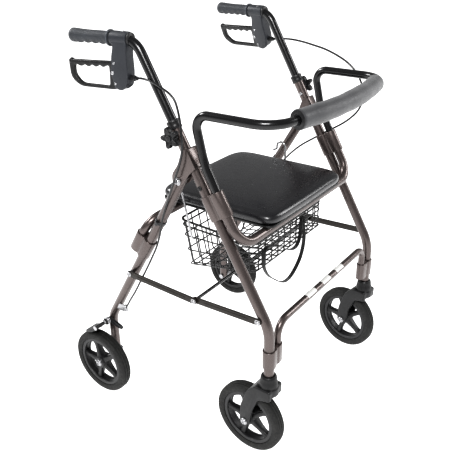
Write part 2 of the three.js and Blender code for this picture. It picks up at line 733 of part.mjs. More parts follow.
/** Axle bolt of a rear wheel: nut inside the leg, spacer outside it, head beyond the hub. */
function rearAxle(side) {
  const inner = LEG_X - 18 - REAR_WHEEL_X;
  const start = new THREE.Vector3(side * inner, 0, 0);
  const shank = bar(start, new THREE.Vector3(side * 22, 0, 0), AXLE_RADIUS, 10);
  const head = bar(new THREE.Vector3(side * 16.6, 0, 0), new THREE.Vector3(side * 22, 0, 0), 9, 14);
  const nut = bar(start, new THREE.Vector3(side * (inner + 5.4), 0, 0), 8.5, 6);
  const spacerStart = LEG_X + LEG_RADIUS + GAP - REAR_WHEEL_X;
  const spacerEnd = -HUB_HALF_LENGTH - GAP;
  const spacer = bar(at(side * spacerStart, [0, 0]), at(side * spacerEnd, [0, 0]), 8, 12);
  return join(shank, head, nut, spacer);
}

const FORK_INNER = 18.6;
const FORK_OUTER = 26;

/** Caster fork about its stem: origin on the floor under the stem, axle behind it. */
function casterFork() {
  const outline = roundedOutline([
    [-19, 180, 4], [-20, 208, 6], [21, 208, 8], [46, 184, 12], [64, 130, 12], [66, 84, 8], [52, 74, 6],
    [38, 84, 8], [30, 130, 12], [12, 172, 8],
  ]);
  const arms = plate(outline, -FORK_OUTER, FORK_OUTER);
  const profile = [[0, 188], [24, 188], [24, 206], [21, 220], [19, 232], [16, 236], [0, 236]];
  const cap = new THREE.LatheGeometry(profile.map(([r, z]) => new THREE.Vector2(r, z)), 14);
  cap.rotateX(Math.PI / 2);
  const room = plate([[-90, 40], [150, 40], [150, 186], [-90, 186]], -FORK_INNER, FORK_INNER);
  const axle = [CASTER_TRAIL, WHEEL_RADIUS];
  const axleHole = drill(at(-40, axle), at(40, axle), AXLE_RADIUS + GAP, 10);
  return cut(join(arms, cap), room, axleHole);
}

function casterAxle() {
  const reach = FORK_OUTER + 5;
  const shank = bar(new THREE.Vector3(-reach, 0, 0), new THREE.Vector3(reach, 0, 0), AXLE_RADIUS, 10);
  const heads = [-1, 1].map((end) => bar(
    new THREE.Vector3(end * (FORK_OUTER + GAP), 0, 0), new THREE.Vector3(end * (reach + 1), 0, 0), 8, 6,
  ));
  return join(shank, ...heads);
}

// A rocker on the rear leg: the cable lifts its front arm and its pad comes down on the tyre.
const SHOE_PIVOT = [491, 203];    // Y, Z
const SHOE_HUB_RADIUS = 7;
const SHOE_ARM_X = 268.5;         // outer face of the front arm
const SHOE_PAD_X = [282, 318];
const SHOE_ARM_OUTLINE = [
  [489, 196.5, 2], [491, 209.5, 3], [478, 206, 4], [446, 197, 3.5], [445, 188, 3.5], [462, 189, 6],
];
const SHOE_PAD_OUTLINE = [
  [490, 196.5, 3], [508, 183.5, 6], [529, 177.5, 1.5], [531, 183, 2], [511, 191, 7], [491, 209.5, 4],
];

function brakeShoe(side) {
  const hubStart = side * (LEG_X + LEG_RADIUS + GAP);
  const hubEnd = side * (SHOE_PAD_X[0] + 2);
  const hub = bar(at(hubStart, SHOE_PIVOT), at(hubEnd, SHOE_PIVOT), SHOE_HUB_RADIUS, 14);
  const arm = plate(roundedOutline(SHOE_ARM_OUTLINE), hubStart, side * SHOE_ARM_X);
  const pad = plate(roundedOutline(SHOE_PAD_OUTLINE), side * SHOE_PAD_X[0], side * SHOE_PAD_X[1]);
  return join(hub, arm, pad);
}

SIDES.forEach(([name, side]) => {
  const rear = wheelGroup(walker, side * REAR_WHEEL_X, REAR_WHEEL_Y);
  place(`rear_tyre_${name}`, tyre(), tyreRubber, rear);
  place(`rear_rim_${name}`, rim(), blackPlastic, rear);
  place(`rear_axle_${name}`, rearAxle(side), brightSteel, rear);
  place(`brake_shoe_${name}`, brakeShoe(side), blackPlastic);

  const caster = new THREE.Group();
  caster.position.x = side * LEG_X;
  caster.rotation.z = -CASTER_TURN[name];
  walker.add(caster);
  place(`caster_fork_${name}`, casterFork(), blackPlastic, caster);
  const wheel = wheelGroup(caster, 0, CASTER_TRAIL);
  place(`caster_tyre_${name}`, tyre(), tyreRubber, wheel);
  place(`caster_rim_${name}`, rim(), blackPlastic, wheel);
  place(`caster_axle_${name}`, casterAxle(), brightSteel, wheel);
});

// ---- seat ---------------------------------------------------------------------------------

/** Slab with rounded corners in plan. */
function roundedSlab(halfWidth, frontY, rearY, cornerRadius, bottomZ, thickness) {
  const shape = roundedOutline([
    [-halfWidth, frontY, cornerRadius], [halfWidth, frontY, cornerRadius],
    [halfWidth, rearY, cornerRadius], [-halfWidth, rearY, cornerRadius],
  ]);
  const options = { depth: thickness, bevelEnabled: false, curveSegments: 6 };
  const geometry = new THREE.ExtrudeGeometry(shape, options);
  return geometry.translate(0, 0, bottomZ);
}

const SEAT_INSET = 6;             // of the board from the edge of the pad
place(
  'seat_base',
  roundedSlab(
    SEAT_HALF_WIDTH - SEAT_INSET, SEAT_FRONT_Y + SEAT_INSET, SEAT_REAR_Y - SEAT_INSET, 24,
    SEAT_BASE_Z, SEAT_BASE_THICKNESS,
  ),
  blackPlastic,
);
const padBottom = SEAT_BASE_Z + SEAT_BASE_THICKNESS + GAP;
place(
  'seat_pad',
  roundedSlab(SEAT_HALF_WIDTH, SEAT_FRONT_Y, SEAT_REAR_Y, 30, padBottom, SEAT_PAD_THICKNESS),
  blackVinyl,
);

// ---- basket -------------------------------------------------------------------------------

const BASKET_HALF_WIDTH = 157;
const BASKET_WALL = 3;
const BASKET_OUTLINE = [[98, 492], [98, 418], [298, 378], [323, 502]];

/** Open-topped tub with a sloping floor. */
function basket() {
  const [frontTop, frontLow, rearLow, rearTop] = BASKET_OUTLINE;
  const room = [
    [frontTop[0] + BASKET_WALL, 520], [frontLow[0] + BASKET_WALL, frontLow[1] + BASKET_WALL],
    [rearLow[0] - BASKET_WALL, rearLow[1] + BASKET_WALL + 1], [rearTop[0] - BASKET_WALL + 3.5, 520],
  ];
  const inner = BASKET_HALF_WIDTH - BASKET_WALL;
  return cut(plate(BASKET_OUTLINE, -BASKET_HALF_WIDTH, BASKET_HALF_WIDTH), plate(room, -inner, inner));
}

place('basket', basket(), blackWire);

const HOOK_X = 181;
const HOOK_RADIUS = 2.6;
const HOOK_FOOT_Z = 470;
// Y of the foot, Y of the shank's top and Z of the crown
const HOOK_ROUTE = { left: [224, 228, 616], right: [262, 287, 588] };

/** Wire hook on the side of the basket: foot, shank, crown and a short tip that points back. */
function bagHook(side, [footY, shankY, crownZ]) {
  const x = side * HOOK_X;
  const line = new BentLine(
    [at(side * (BASKET_HALF_WIDTH + GAP), [footY, HOOK_FOOT_Z]), at(x, [footY, HOOK_FOOT_Z]),
      at(x, [shankY, crownZ]), at(x, [shankY + 25, crownZ]), at(x, [shankY + 25, crownZ - 20]),
      at(x, [shankY + 37, crownZ - 26])],
    [10, 12, 12, 5],
    [3, 4, 4, 2],
  );
  return tube(line, HOOK_RADIUS, 6);
}

SIDES.forEach(([name, side]) => {
  place(`bag_hook_${name}`, bagHook(side, HOOK_ROUTE[name]), brightSteel);
});

// ---- pull strap ---------------------------------------------------------------------------

// X and Z of the webbing: a long loop in front of the basket, then a short one back beside it
const STRAP_Y = 91;
const STRAP_ROUTE = [
  [46, 488], [48, 464], [54, 438], [53, 412], [46, 390], [34, 371], [14, 354], [-10, 342], [-35, 341],
  [-60, 352], [-85, 371], [-112, 394], [-129, 419], [-135, 442], [-134, 462], [-127, 473], [-116, 474],
  [-98, 467], [-75, 456], [-50, 441], [-25, 426], [-2, 417], [18, 419], [30, 432], [35, 452], [36, 470],
  [36, 488],
];
const STRAP_HALF_WIDTH = 5;
const STRAP_HALF_THICKNESS = 1.1;

function strap() {
  const line = new THREE.CatmullRomCurve3(STRAP_ROUTE.map(([x, z]) => new THREE.Vector3(x, STRAP_Y, z)));
  const corners = [[-1, -1], [1, -1], [1, 1], [-1, 1]].map(([thick, wide]) => new THREE.Vector2(
    thick * STRAP_HALF_THICKNESS, wide * STRAP_HALF_WIDTH,
  ));
  const section = new THREE.Shape(corners);
  return new THREE.ExtrudeGeometry(section, { extrudePath: line, steps: 56 });
}

place('pull_strap', strap(), webbing);

// ---- brake cables -------------------------------------------------------------------------

// X (on the left side, mirrored on the right), Y and Z, from the housing down to the stop
const CABLE_ROUTE = {
  left: [
    [280.2, 335.2, 862.8], [279.7, 330, 863], [278.5, 319, 864.5], [277, 304, 866.5], [275, 288, 867.5],
    [272, 262, 867.5], [268, 232, 865], [265, 200, 860], [264, 166, 853], [264, 132, 841],
    [264, 102, 826], [264, 78, 806], [266, 62, 780], [268, 56, 752], [269, 58, 726],
    [268, 68, 704], [267, 86, 684], [268, 108, 666], [269, 132, 650], [269, 160, 632], [269, 190, 612],
    [267, 222, 590], [266, 250, 566], [265, 276, 538], [265, 300, 506], [265, 324, 468], [265, 348, 426],
    [265, 372, 384], [265, 394, 346], [264, 412, 310], [263, 424, 280], [262, 431, 262],
  ],
  right: [
    [250.8, 338, 857], [250.3, 332.5, 857.1], [252.5, 321, 859], [259.5, 303, 860.5],
    [264.5, 285, 860.5], [266.5, 267, 856.5], [267, 250, 850], [267, 231, 841], [267, 217, 826],
    [269, 207, 796], [271, 203, 772], [275, 199, 748], [275, 201, 724], [275, 208, 700], [275, 218, 676],
    [275, 230, 648], [271, 246, 618], [266, 262, 588], [265, 274, 558], [265, 282, 530], [265, 290, 502],
    [265, 302, 472], [265, 320, 438], [265, 340, 402], [265, 362, 364], [265, 384, 326], [264, 404, 296],
    [263, 418, 274], [262, 428, 260],
  ],
};

function brakeCable(name, side) {
  const places = CABLE_ROUTE[name].map(([x, y, z]) => new THREE.Vector3(side * x, y, z));
  return tube(new THREE.CatmullRomCurve3(places), CABLE_RADIUS, 6, 64);
}

SIDES.forEach(([name, side]) => {
  place(`brake_cable_${name}`, brakeCable(name, side), blackPlastic);
});

export default rollator;
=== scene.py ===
"""Rollator walker: the visible pieces and their finishes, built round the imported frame.

Shapes are worked out in millimetres from the line between the two caster stems,
as the frame's own dimensions are, and are then moved to metres in the frame.
"""

import json
import math

import bpy
import numpy as np
from mathutils import Matrix, Vector

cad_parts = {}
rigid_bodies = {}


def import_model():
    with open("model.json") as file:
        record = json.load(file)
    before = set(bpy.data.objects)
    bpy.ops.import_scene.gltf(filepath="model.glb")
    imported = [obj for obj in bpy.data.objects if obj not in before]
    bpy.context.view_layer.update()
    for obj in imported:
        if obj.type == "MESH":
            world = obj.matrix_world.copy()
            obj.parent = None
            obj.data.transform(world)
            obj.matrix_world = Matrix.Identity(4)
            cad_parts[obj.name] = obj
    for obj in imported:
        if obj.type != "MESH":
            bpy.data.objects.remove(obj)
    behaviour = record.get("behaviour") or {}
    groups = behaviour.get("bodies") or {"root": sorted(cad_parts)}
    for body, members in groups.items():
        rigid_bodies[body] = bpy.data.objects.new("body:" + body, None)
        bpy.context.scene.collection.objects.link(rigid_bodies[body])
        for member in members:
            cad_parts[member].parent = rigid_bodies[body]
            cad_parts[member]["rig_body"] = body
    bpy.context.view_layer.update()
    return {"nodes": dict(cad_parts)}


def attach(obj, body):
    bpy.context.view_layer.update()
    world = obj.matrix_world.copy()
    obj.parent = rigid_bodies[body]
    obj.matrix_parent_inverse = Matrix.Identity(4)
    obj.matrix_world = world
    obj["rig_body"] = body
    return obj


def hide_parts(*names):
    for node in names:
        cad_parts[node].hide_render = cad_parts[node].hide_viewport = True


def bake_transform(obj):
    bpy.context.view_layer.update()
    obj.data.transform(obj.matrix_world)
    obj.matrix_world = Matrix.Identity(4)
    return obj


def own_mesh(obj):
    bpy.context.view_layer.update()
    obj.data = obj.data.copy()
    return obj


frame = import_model()

MM = 0.001
SHIFT_Y = -265.5                  # caster stem line to the middle of the walker
SIDES = (("left", 1), ("right", -1))

# ---- camera -------------------------------------------------------------------------------

CAMERA_PLACE = (-1187.0, -849.8, 1140.2)
CAMERA_AZIMUTH = -53.337
CAMERA_ELEVATION = 25.765
CAMERA_ROLL = -1.222
CAMERA_LENS = 49.55


def linked(name, data):
    """A new object that holds the data, in the scene."""
    obj = bpy.data.objects.new(name, data)
    bpy.context.scene.collection.objects.link(obj)
    return obj


def place_camera():
    """A 50 mm view from the front right corner, a little above the handles."""
    azimuth, elevation, roll = map(math.radians, (CAMERA_AZIMUTH, CAMERA_ELEVATION, CAMERA_ROLL))
    back = Vector((
        math.sin(azimuth) * math.cos(elevation),
        -math.cos(azimuth) * math.cos(elevation),
        math.sin(elevation),
    ))
    right = Vector((math.cos(azimuth), math.sin(azimuth), 0))
    up = back.cross(right)
    rolled_right = right * math.cos(roll) + up * math.sin(roll)
    rolled_up = up * math.cos(roll) - right * math.sin(roll)
    turn = Matrix((rolled_right, rolled_up, back)).transposed().to_4x4()
    data = bpy.data.cameras.new("camera")
    data.lens = CAMERA_LENS
    data.sensor_width = 36
    camera = linked("camera", data)
    camera.matrix_world = Matrix.Translation(Vector(CAMERA_PLACE) * MM) @ turn
    bpy.context.scene.camera = camera


place_camera()

# ---- finishes -----------------------------------------------------------------------------


class Finish:
    """A Principled material and the few node chains that every finish here is made of."""

    def __init__(self, name, **settings):
        self.material = bpy.data.materials.new(name)
        self.material.use_nodes = True
        self.nodes = self.material.node_tree.nodes
        self.links = self.material.node_tree.links
        self.shader = self.nodes["Principled BSDF"]
        for key, value in settings.items():
            self.shader.inputs[key.replace("_", " ")].default_value = value
        self.place = self.nodes.new("ShaderNodeTexCoord").outputs["Object"]

    def stretched(self, scale):
        """Object coordinates with a scale for each axis."""
        mapping = self.nodes.new("ShaderNodeMapping")
        mapping.inputs["Scale"].default_value = scale
        self.links.new(self.place, mapping.inputs["Vector"])
        return mapping.outputs["Vector"]

    def noise(self, scale, detail=3, roughness=0.55, vector=None):
        node = self.nodes.new("ShaderNodeTexNoise")
        node.inputs["Scale"].default_value = scale
        node.inputs["Detail"].default_value = detail
        node.inputs["Roughness"].default_value = roughness
        self.links.new(vector or self.place, node.inputs["Vector"])
        return node.outputs["Fac"]

    def cells(self, scale, feature="DISTANCE_TO_EDGE", vector=None):
        node = self.nodes.new("ShaderNodeTexVoronoi")
        node.feature = feature
        node.inputs["Scale"].default_value = scale
        self.links.new(vector or self.place, node.inputs["Vector"])
        return node.outputs["Distance"]

    def waves(self, scale, direction, vector=None, distortion=0.0):
        node = self.nodes.new("ShaderNodeTexWave")
        node.bands_direction = direction
        node.inputs["Scale"].default_value = scale
        node.inputs["Distortion"].default_value = distortion
        self.links.new(vector or self.place, node.inputs["Vector"])
        return node.outputs["Fac"]

    def spread(self, value, low, high, at_low=0.0, at_high=1.0):
        """Maps the range low..high of a value to at_low..at_high, clamped."""
        node = self.nodes.new("ShaderNodeMapRange")
        for key, number in zip(("From Min", "From Max", "To Min", "To Max"), (low, high, at_low, at_high)):
            node.inputs[key].default_value = number
        self.links.new(value, node.inputs["Value"])
        return node.outputs["Result"]

    def tint(self, value, dark, light):
        """Colour between dark and light, by value."""
        node = self.nodes.new("ShaderNodeMix")
        node.data_type = "RGBA"
        self.links.new(value, node.inputs["Factor"])
        node.inputs["A"].default_value = (*dark, 1)
        node.inputs["B"].default_value = (*light, 1)
        return node.outputs["Result"]

    def blend(self, value, colour, over):
        """The given colour socket, giving way to the colour `over` as value goes to 1."""
        node = self.nodes.new("ShaderNodeMix")
        node.data_type = "RGBA"
        self.links.new(value, node.inputs["Factor"])
        self.links.new(colour, node.inputs["A"])
        node.inputs["B"].default_value = (*over, 1)
        return node.outputs["Result"]

    def product(self, first, second, operation="MULTIPLY"):
        node = self.nodes.new("ShaderNodeMath")
        node.operation = operation
        self.links.new(first, node.inputs[0])
        if isinstance(second, (int, float)):
            node.inputs[1].default_value = second
        else:
            self.links.new(second, node.inputs[1])
        return node.outputs["Value"]

    def edges(self, low=0.52, high=0.62):
        """Near 1 along outer edges and crests: worn edges, and on the grip a painted highlight."""
        node = self.nodes.new("ShaderNodeNewGeometry")
        return self.spread(node.outputs["Pointiness"], low, high)

    def colour(self, socket):
        self.links.new(socket, self.shader.inputs["Base Color"])

    def rough(self, socket):
        self.links.new(socket, self.shader.inputs["Roughness"])

    def bump(self, socket, distance, strength=1.0, after=None):
        """Raises the surface by the given distance in metres where the value is 1."""
        node = self.nodes.new("ShaderNodeBump")
        node.inputs["Distance"].default_value = distance
        node.inputs["Strength"].default_value = strength
        self.links.new(socket, node.inputs["Height"])
        if after is not None:
            self.links.new(after, node.inputs["Normal"])
        self.links.new(node.outputs["Normal"], self.shader.inputs["Normal"])
        return node.outputs["Normal"]


def painted_bronze():
    """Metallic bronze powder paint under a clear coat, with fine flake and orange peel."""
    f = Finish("frame_bronze", Metallic=0.8, Coat_Weight=0.35, Coat_Roughness=0.12)
    flake = f.spread(f.noise(2600, 2), 0.35, 0.65)
    cloud = f.noise(9, 4)
    base = f.tint(cloud, (0.092, 0.076, 0.073), (0.14, 0.118, 0.113))
    sparkle = f.product(f.spread(f.noise(3400, 1), 0.62, 0.7), 0.35)
    f.colour(f.blend(sparkle, base, (0.36, 0.32, 0.30)))
    f.rough(f.spread(flake, 0, 1, 0.27, 0.4))
    peel = f.bump(f.noise(420, 3), 0.00004, 0.6)
    f.bump(flake, 0.00001, 0.35, peel)
    return f.material


def black_lacquer():
    """Gloss black powder coat on tube."""
    f = Finish("tube_black", Metallic=0.25, Coat_Weight=0.5, Coat_Roughness=0.08)
    f.colour(f.tint(f.noise(12, 3), (0.004, 0.004, 0.005), (0.009, 0.009, 0.01)))
    f.rough(f.spread(f.noise(700, 3), 0.3, 0.7, 0.2, 0.34))
    f.bump(f.noise(520, 3), 0.00003, 0.5)
    return f.material


def brace_paint():
    """Dark bronze-black paint on flat steel bar, rubbed lighter at the edges."""
    f = Finish("brace_paint", Metallic=0.55)
    base = f.tint(f.noise(22, 4), (0.03, 0.027, 0.025), (0.055, 0.05, 0.046))
    f.colour(f.blend(f.product(f.edges(0.53, 0.6), 0.5), base, (0.16, 0.14, 0.13)))
    f.rough(f.spread(f.noise(300, 4), 0.3, 0.7, 0.32, 0.52))
    f.bump(f.noise(900, 3), 0.00003, 0.5)
    return f.material


def bright_plate():
    """Nickel plate with faint turning lines and small dull patches."""
    f = Finish("bright_plate", Metallic=1.0)
    f.colour(f.tint(f.noise(60, 3), (0.36, 0.36, 0.37), (0.5, 0.5, 0.51)))
    f.rough(f.spread(f.noise(240, 4), 0.35, 0.7, 0.22, 0.38))
    f.bump(f.noise(1800, 2, vector=f.stretched((1, 0.15, 0.15))), 0.00002, 0.3)
    return f.material


def basket_coat():
    """Black dipped vinyl on wire, thick and slightly lumpy."""
    f = Finish("basket_coat", Coat_Weight=0.2, Coat_Roughness=0.2)
    f.colour(f.tint(f.noise(30, 3), (0.012, 0.012, 0.013), (0.026, 0.026, 0.027)))
    f.rough(f.spread(f.noise(160, 3), 0.3, 0.7, 0.3, 0.46))
    f.bump(f.noise(260, 3), 0.00015, 0.5)
    return f.material


def moulded_black():
    """Black nylon moulding with a fine spark texture and rubbed edges."""
    f = Finish("moulded_black")
    base = f.tint(f.noise(18, 4), (0.007, 0.007, 0.0075), (0.015, 0.015, 0.016))
    f.colour(f.blend(f.product(f.edges(0.54, 0.62), 0.45), base, (0.1, 0.1, 0.105)))
    f.rough(f.spread(f.noise(210, 4), 0.3, 0.7, 0.34, 0.52))
    f.bump(f.noise(1500, 3), 0.00006, 0.6)
    return f.material


def moulded_slate():
    """Slate grey moulding of the brake housings and the height knobs."""
    f = Finish("moulded_slate")
    base = f.tint(f.noise(15, 4), (0.022, 0.024, 0.029), (0.036, 0.039, 0.046))
    f.colour(f.blend(f.product(f.edges(0.54, 0.62), 0.35), base, (0.1, 0.105, 0.12)))
    f.rough(f.spread(f.noise(190, 4), 0.3, 0.7, 0.36, 0.52))
    f.bump(f.noise(1300, 3), 0.00007, 0.6)
    return f.material


def soft_rubber():
    """Grip rubber: grey-black, with pores and a painted bluish highlight on high spots."""
    f = Finish("grip_rubber", Sheen_Weight=0.25, Sheen_Roughness=0.4)
    base = f.tint(f.noise(26, 4), (0.022, 0.024, 0.028), (0.042, 0.046, 0.053))
    # painted highlight: high spots and rib crests are painted a lighter bluish grey
    f.colour(f.blend(f.product(f.edges(0.52, 0.6), 0.4), base, (0.13, 0.14, 0.165)))
    f.rough(f.spread(f.noise(240, 4), 0.3, 0.7, 0.46, 0.66))
    f.bump(f.cells(1300), 0.00012, 0.5)
    return f.material


def tyre_rubber():
    """Matte near-black tyre rubber, dusty, with mould specks."""
    f = Finish("tyre_rubber")
    base = f.tint(f.noise(34, 5), (0.012, 0.012, 0.012), (0.026, 0.026, 0.025))
    dust = f.product(f.spread(f.noise(120, 5), 0.5, 0.75), 0.4)
    f.colour(f.blend(dust, base, (0.06, 0.059, 0.056)))
    f.rough(f.spread(f.noise(320, 4), 0.3, 0.7, 0.62, 0.86))
    f.bump(f.noise(900, 4), 0.00015, 0.7)
    return f.material


def seat_vinyl():
    """Upholstery vinyl: pebble grain from two sizes of cell, soft creases, satin bloom."""
    f = Finish("seat_vinyl", Coat_Weight=0.4, Coat_Roughness=0.22)
    grain = f.spread(f.cells(900), 0.0, 0.35)
    fine = f.spread(f.cells(1500), 0.0, 0.4)
    base = f.tint(f.noise(11, 4), (0.011, 0.011, 0.013), (0.019, 0.019, 0.022))
    f.colour(f.blend(f.product(f.spread(grain, 1, 0), 0.35), base, (0.009, 0.009, 0.011)))
    f.rough(f.spread(f.noise(90, 4), 0.3, 0.7, 0.24, 0.36))
    soft = f.bump(f.noise(9, 2), 0.0006, 0.35)
    coarse = f.bump(grain, 0.00006, 0.4, soft)
    f.bump(fine, 0.00003, 0.35, coarse)
    return f.material


def pad_foam():
    """Closed-cell foam sleeve: dark grey skin with fine pores and faint drag marks."""
    f = Finish("pad_foam", Sheen_Weight=0.3, Sheen_Roughness=0.5)
    base = f.tint(f.noise(20, 5), (0.03, 0.031, 0.034), (0.05, 0.051, 0.055))
    pores = f.spread(f.cells(1700, "F1"), 0.1, 0.5)
    f.colour(f.blend(f.product(f.spread(pores, 0.35, 0.0), 0.6), base, (0.018, 0.018, 0.02)))
    f.rough(f.spread(f.noise(150, 4), 0.3, 0.7, 0.42, 0.6))
    drag = f.bump(f.noise(14, 3, vector=f.stretched((0.2, 1, 1))), 0.0008, 0.35)
    f.bump(pores, 0.0001, 0.4, drag)
    return f.material


def strap_webbing():
    """Flat polypropylene webbing: a weave that follows the strap's own length and width."""
    f = Finish("strap_webbing", Sheen_Weight=0.3, Sheen_Roughness=0.45)
    along = f.nodes.new("ShaderNodeUVMap").outputs["UV"]
    warp = f.waves(7, "X", vector=along)
    weft = f.waves(9, "Y", vector=along)
    weave = f.product(warp, weft)
    f.colour(f.tint(weave, (0.006, 0.006, 0.006), (0.032, 0.032, 0.034)))
    f.rough(f.spread(weave, 0, 1, 0.62, 0.85))
    f.bump(weave, 0.0003, 0.8)
    return f.material


def cable_sleeve():
    """Smooth black vinyl sheath of the brake cables."""
    f = Finish("cable_sleeve", Coat_Weight=0.2, Coat_Roughness=0.15)
    f.colour(f.tint(f.noise(40, 3), (0.008, 0.008, 0.009), (0.02, 0.02, 0.021)))
    f.rough(f.spread(f.noise(260, 3), 0.3, 0.7, 0.24, 0.4))
    f.bump(f.noise(600, 2), 0.00004, 0.4)
    return f.material


def blank_label():
    """White vinyl label with nothing printed on it, a little soiled."""
    f = Finish("blank_label")
    base = f.tint(f.noise(70, 4), (0.62, 0.62, 0.6), (0.78, 0.78, 0.77))
    soil = f.product(f.spread(f.noise(300, 4), 0.58, 0.75), 0.25)
    f.colour(f.blend(soil, base, (0.42, 0.41, 0.39)))
    f.rough(f.spread(f.noise(150, 3), 0.3, 0.7, 0.3, 0.45))
    f.bump(f.noise(500, 2), 0.00003, 0.3)
    return f.material


FINISHES = {
    "frame_metal": painted_bronze(),
    "black_tube": black_lacquer(),
    "brace_metal": brace_paint(),
    "bright_metal": bright_plate(),
    "basket_wire": basket_coat(),
    "black_plastic": moulded_black(),
    "slate_plastic": moulded_slate(),
    "grip_rubber": soft_rubber(),
    "tyre": tyre_rubber(),
    "vinyl": seat_vinyl(),
    "foam": pad_foam(),
    "webbing": strap_webbing(),
    "cable_sheath": cable_sleeve(),
}
LABEL = blank_label()

# ---- surfaces -----------------------------------------------------------------------------
# A shape is (points, faces): an (n, 3) array in millimetres and a list of index lists.


def unit(v):
    v = np.asarray(v, float)
    return v / np.linalg.norm(v, axis=-1, keepdims=True)


def skin(rings, loop=False):
    """Closed surface through rings of equal count: quads between rings, flat ends or a closed loop."""
    rings = np.asarray(rings, float)
    rows, count = rings.shape[:2]
    index = np.arange(rows * count).reshape(rows, count)
    first = index if loop else index[:-1]
    after = np.roll(index, -1, axis=0) if loop else index[1:]
    quads = np.stack([first, np.roll(first, -1, 1), np.roll(after, -1, 1), after], axis=-1)
    faces = quads.reshape(-1, 4).tolist()
    if not loop:
        faces += [index[0, ::-1].tolist(), index[-1].tolist()]
    return rings.reshape(-1, 3), faces


def merged(*shapes):
    """Several shapes as one."""
    points, faces, start = [], [], 0
    for shape_points, shape_faces in shapes:
        points.append(shape_points)
        faces += [[i + start for i in face] for face in shape_faces]
        start += len(shape_points)
    return np.vstack(points), faces


def moved(shape, turn=None, by=(0, 0, 0)):
    """The shape turned by a 3 x 3 matrix and then moved."""
    points, faces = shape
    turned = points if turn is None else points @ np.asarray(turn).T
    return turned + np.asarray(by, float), faces


def mirrored(shape, side):
    """The shape on the left side as it is; on the right side mirrored across X."""
    points, faces = shape
    if side > 0:
        return shape
    return points * (-1, 1, 1), [face[::-1] for face in faces]


def about_z(angle):
    c, s = math.cos(angle), math.sin(angle)
    return np.array([[c, -s, 0], [s, c, 0], [0, 0, 1]])


def about_y(angle):
    c, s = math.cos(angle), math.sin(angle)
    return np.array([[c, 0, s], [0, 1, 0], [-s, 0, c]])


def circle(count, phase=0.0):
    """Cosines and sines of evenly spaced angles, as two columns."""
    angle = 2 * np.pi * np.arange(count) / count + phase
    return np.column_stack([np.cos(angle), np.sin(angle)])


def squared(count, power):
    """Superellipse of unit half size: |x|^power + |y|^power = 1."""
    c = circle(count)
    return np.sign(c) * np.abs(c) ** (2 / power)


def carried(path):
    """Unit tangents of a path with a normal and a binormal carried along without twist."""
    path = np.asarray(path, float)
    steps = unit(np.diff(path, axis=0))
    tangent = unit(np.vstack([steps[:1], steps[:-1] + steps[1:], steps[-1:]]))
    normal = np.zeros_like(tangent)
    start = np.eye(3)[np.argmin(np.abs(tangent[0]))]
    normal[0] = unit(start - tangent[0] * (start @ tangent[0]))
    for i in range(1, len(path)):
        normal[i] = unit(normal[i - 1] - tangent[i] * (normal[i - 1] @ tangent[i]))
    return tangent, normal, np.cross(tangent, normal)


def bent(corners, radii, steps=10):
    """Path through corner points, each corner an arc of its radius, tangent to both legs."""
    corners = [np.asarray(c, float) for c in corners]
    path = [corners[0]]
    for before, corner, after, radius in zip(corners, corners[1:], corners[2:], radii):
        into, out = unit(corner - before), unit(after - corner)
        turn = math.acos(np.clip(into @ out, -1, 1))
        if turn < 1e-4:
            continue
        axis = unit(np.cross(into, out))
        inward = np.cross(axis, into)
        start = corner - into * radius * math.tan(turn / 2)
        angle = np.linspace(0, turn, steps + 1)[:, None]
        path += list(start + radius * (into * np.sin(angle) + inward * (1 - np.cos(angle))))
    path.append(corners[-1])
    return np.array(path)


def flowing(points, per=8):
    """Catmull-Rom curve through the points, `per` stations between each two."""
    p = np.asarray(points, float)
    p = np.vstack([2 * p[0] - p[1], p, 2 * p[-1] - p[-2]])
    t = np.linspace(0, 1, per, endpoint=False)[:, None]
    a, b, c, d = (p[k:len(p) - 3 + k, None, :] for k in range(4))
    square = (2 * a - 5 * b + 4 * c - d) * t**2
    cube = (3 * b - a - 3 * c + d) * t**3
    curve = 0.5 * (2 * b + (c - a) * t + square + cube)
    return np.vstack([curve.reshape(-1, 3), p[-2]])


def tube(path, radius, sides=28, nose=0.8, bore=None):
    """Round tube: circles of the radius square to the path, its ends chamfered by `nose`.

    bore is (depth, radius) of a blind hole down the far end.
    """
    path = np.asarray(path, float)
    tangent, normal, binormal = carried(path)
    stations = np.vstack([path[0], path[0] + tangent[0] * nose, path[1:-1],
                          path[-1] - tangent[-1] * nose, path[-1]])
    pick = np.concatenate([[0, 0], np.arange(1, len(path) - 1), [-1, -1]])
    size = np.full(len(stations), float(radius))
    size[[0, -1]] = radius - nose
    if bore:
        depth, inner = bore
        stations = np.vstack([stations, path[-1], path[-1] - tangent[-1] * depth])
        pick = np.concatenate([pick, [-1, -1]])
        size = np.concatenate([size, [inner, inner]])
    c = circle(sides)
    across = normal[pick][:, None] * c[:, :1] + binormal[pick][:, None] * c[:, 1:]
    return skin(stations[:, None] + across * size[:, None, None])


def turned(profile, origin=(0, 0, 0), axis=(1, 0, 0), count=40, loop=False):
    """Surface of revolution: profile pairs (distance along the axis, radius)."""
    profile = np.asarray(profile, float)
    axis = unit(axis)
    start = np.eye(3)[np.argmin(np.abs(axis))]
    normal = unit(start - axis * (start @ axis))
    binormal = np.cross(axis, normal)
    c = circle(count, np.pi / count)
    ring = normal * c[:, :1] + binormal * c[:, 1:]
    centre = np.asarray(origin, float) + profile[:, :1] * axis
    return skin(centre[:, None] + ring[None] * profile[:, 1:, None], loop)


def between(start, end, radius, sides=28, nose=0.6):
    """Straight round bar."""
    return tube(np.array([start, end], float), radius, sides, nose)


def rounded(corners, steps=8):
    """Closed outline from (x, y, radius) corners; each corner is a parabola between its two legs."""
    corners = np.asarray(corners, float)
    here, size = corners[:, :2], corners[:, 2:]
    back = here + unit(np.roll(here, 1, 0) - here) * size
    ahead = here + unit(np.roll(here, -1, 0) - here) * size
    t = np.linspace(0, 1, steps + 1)[None, :, None]
    arc = (1 - t) ** 2 * back[:, None] + 2 * t * (1 - t) * here[:, None] + t**2 * ahead[:, None]
    return arc.reshape(-1, 2)


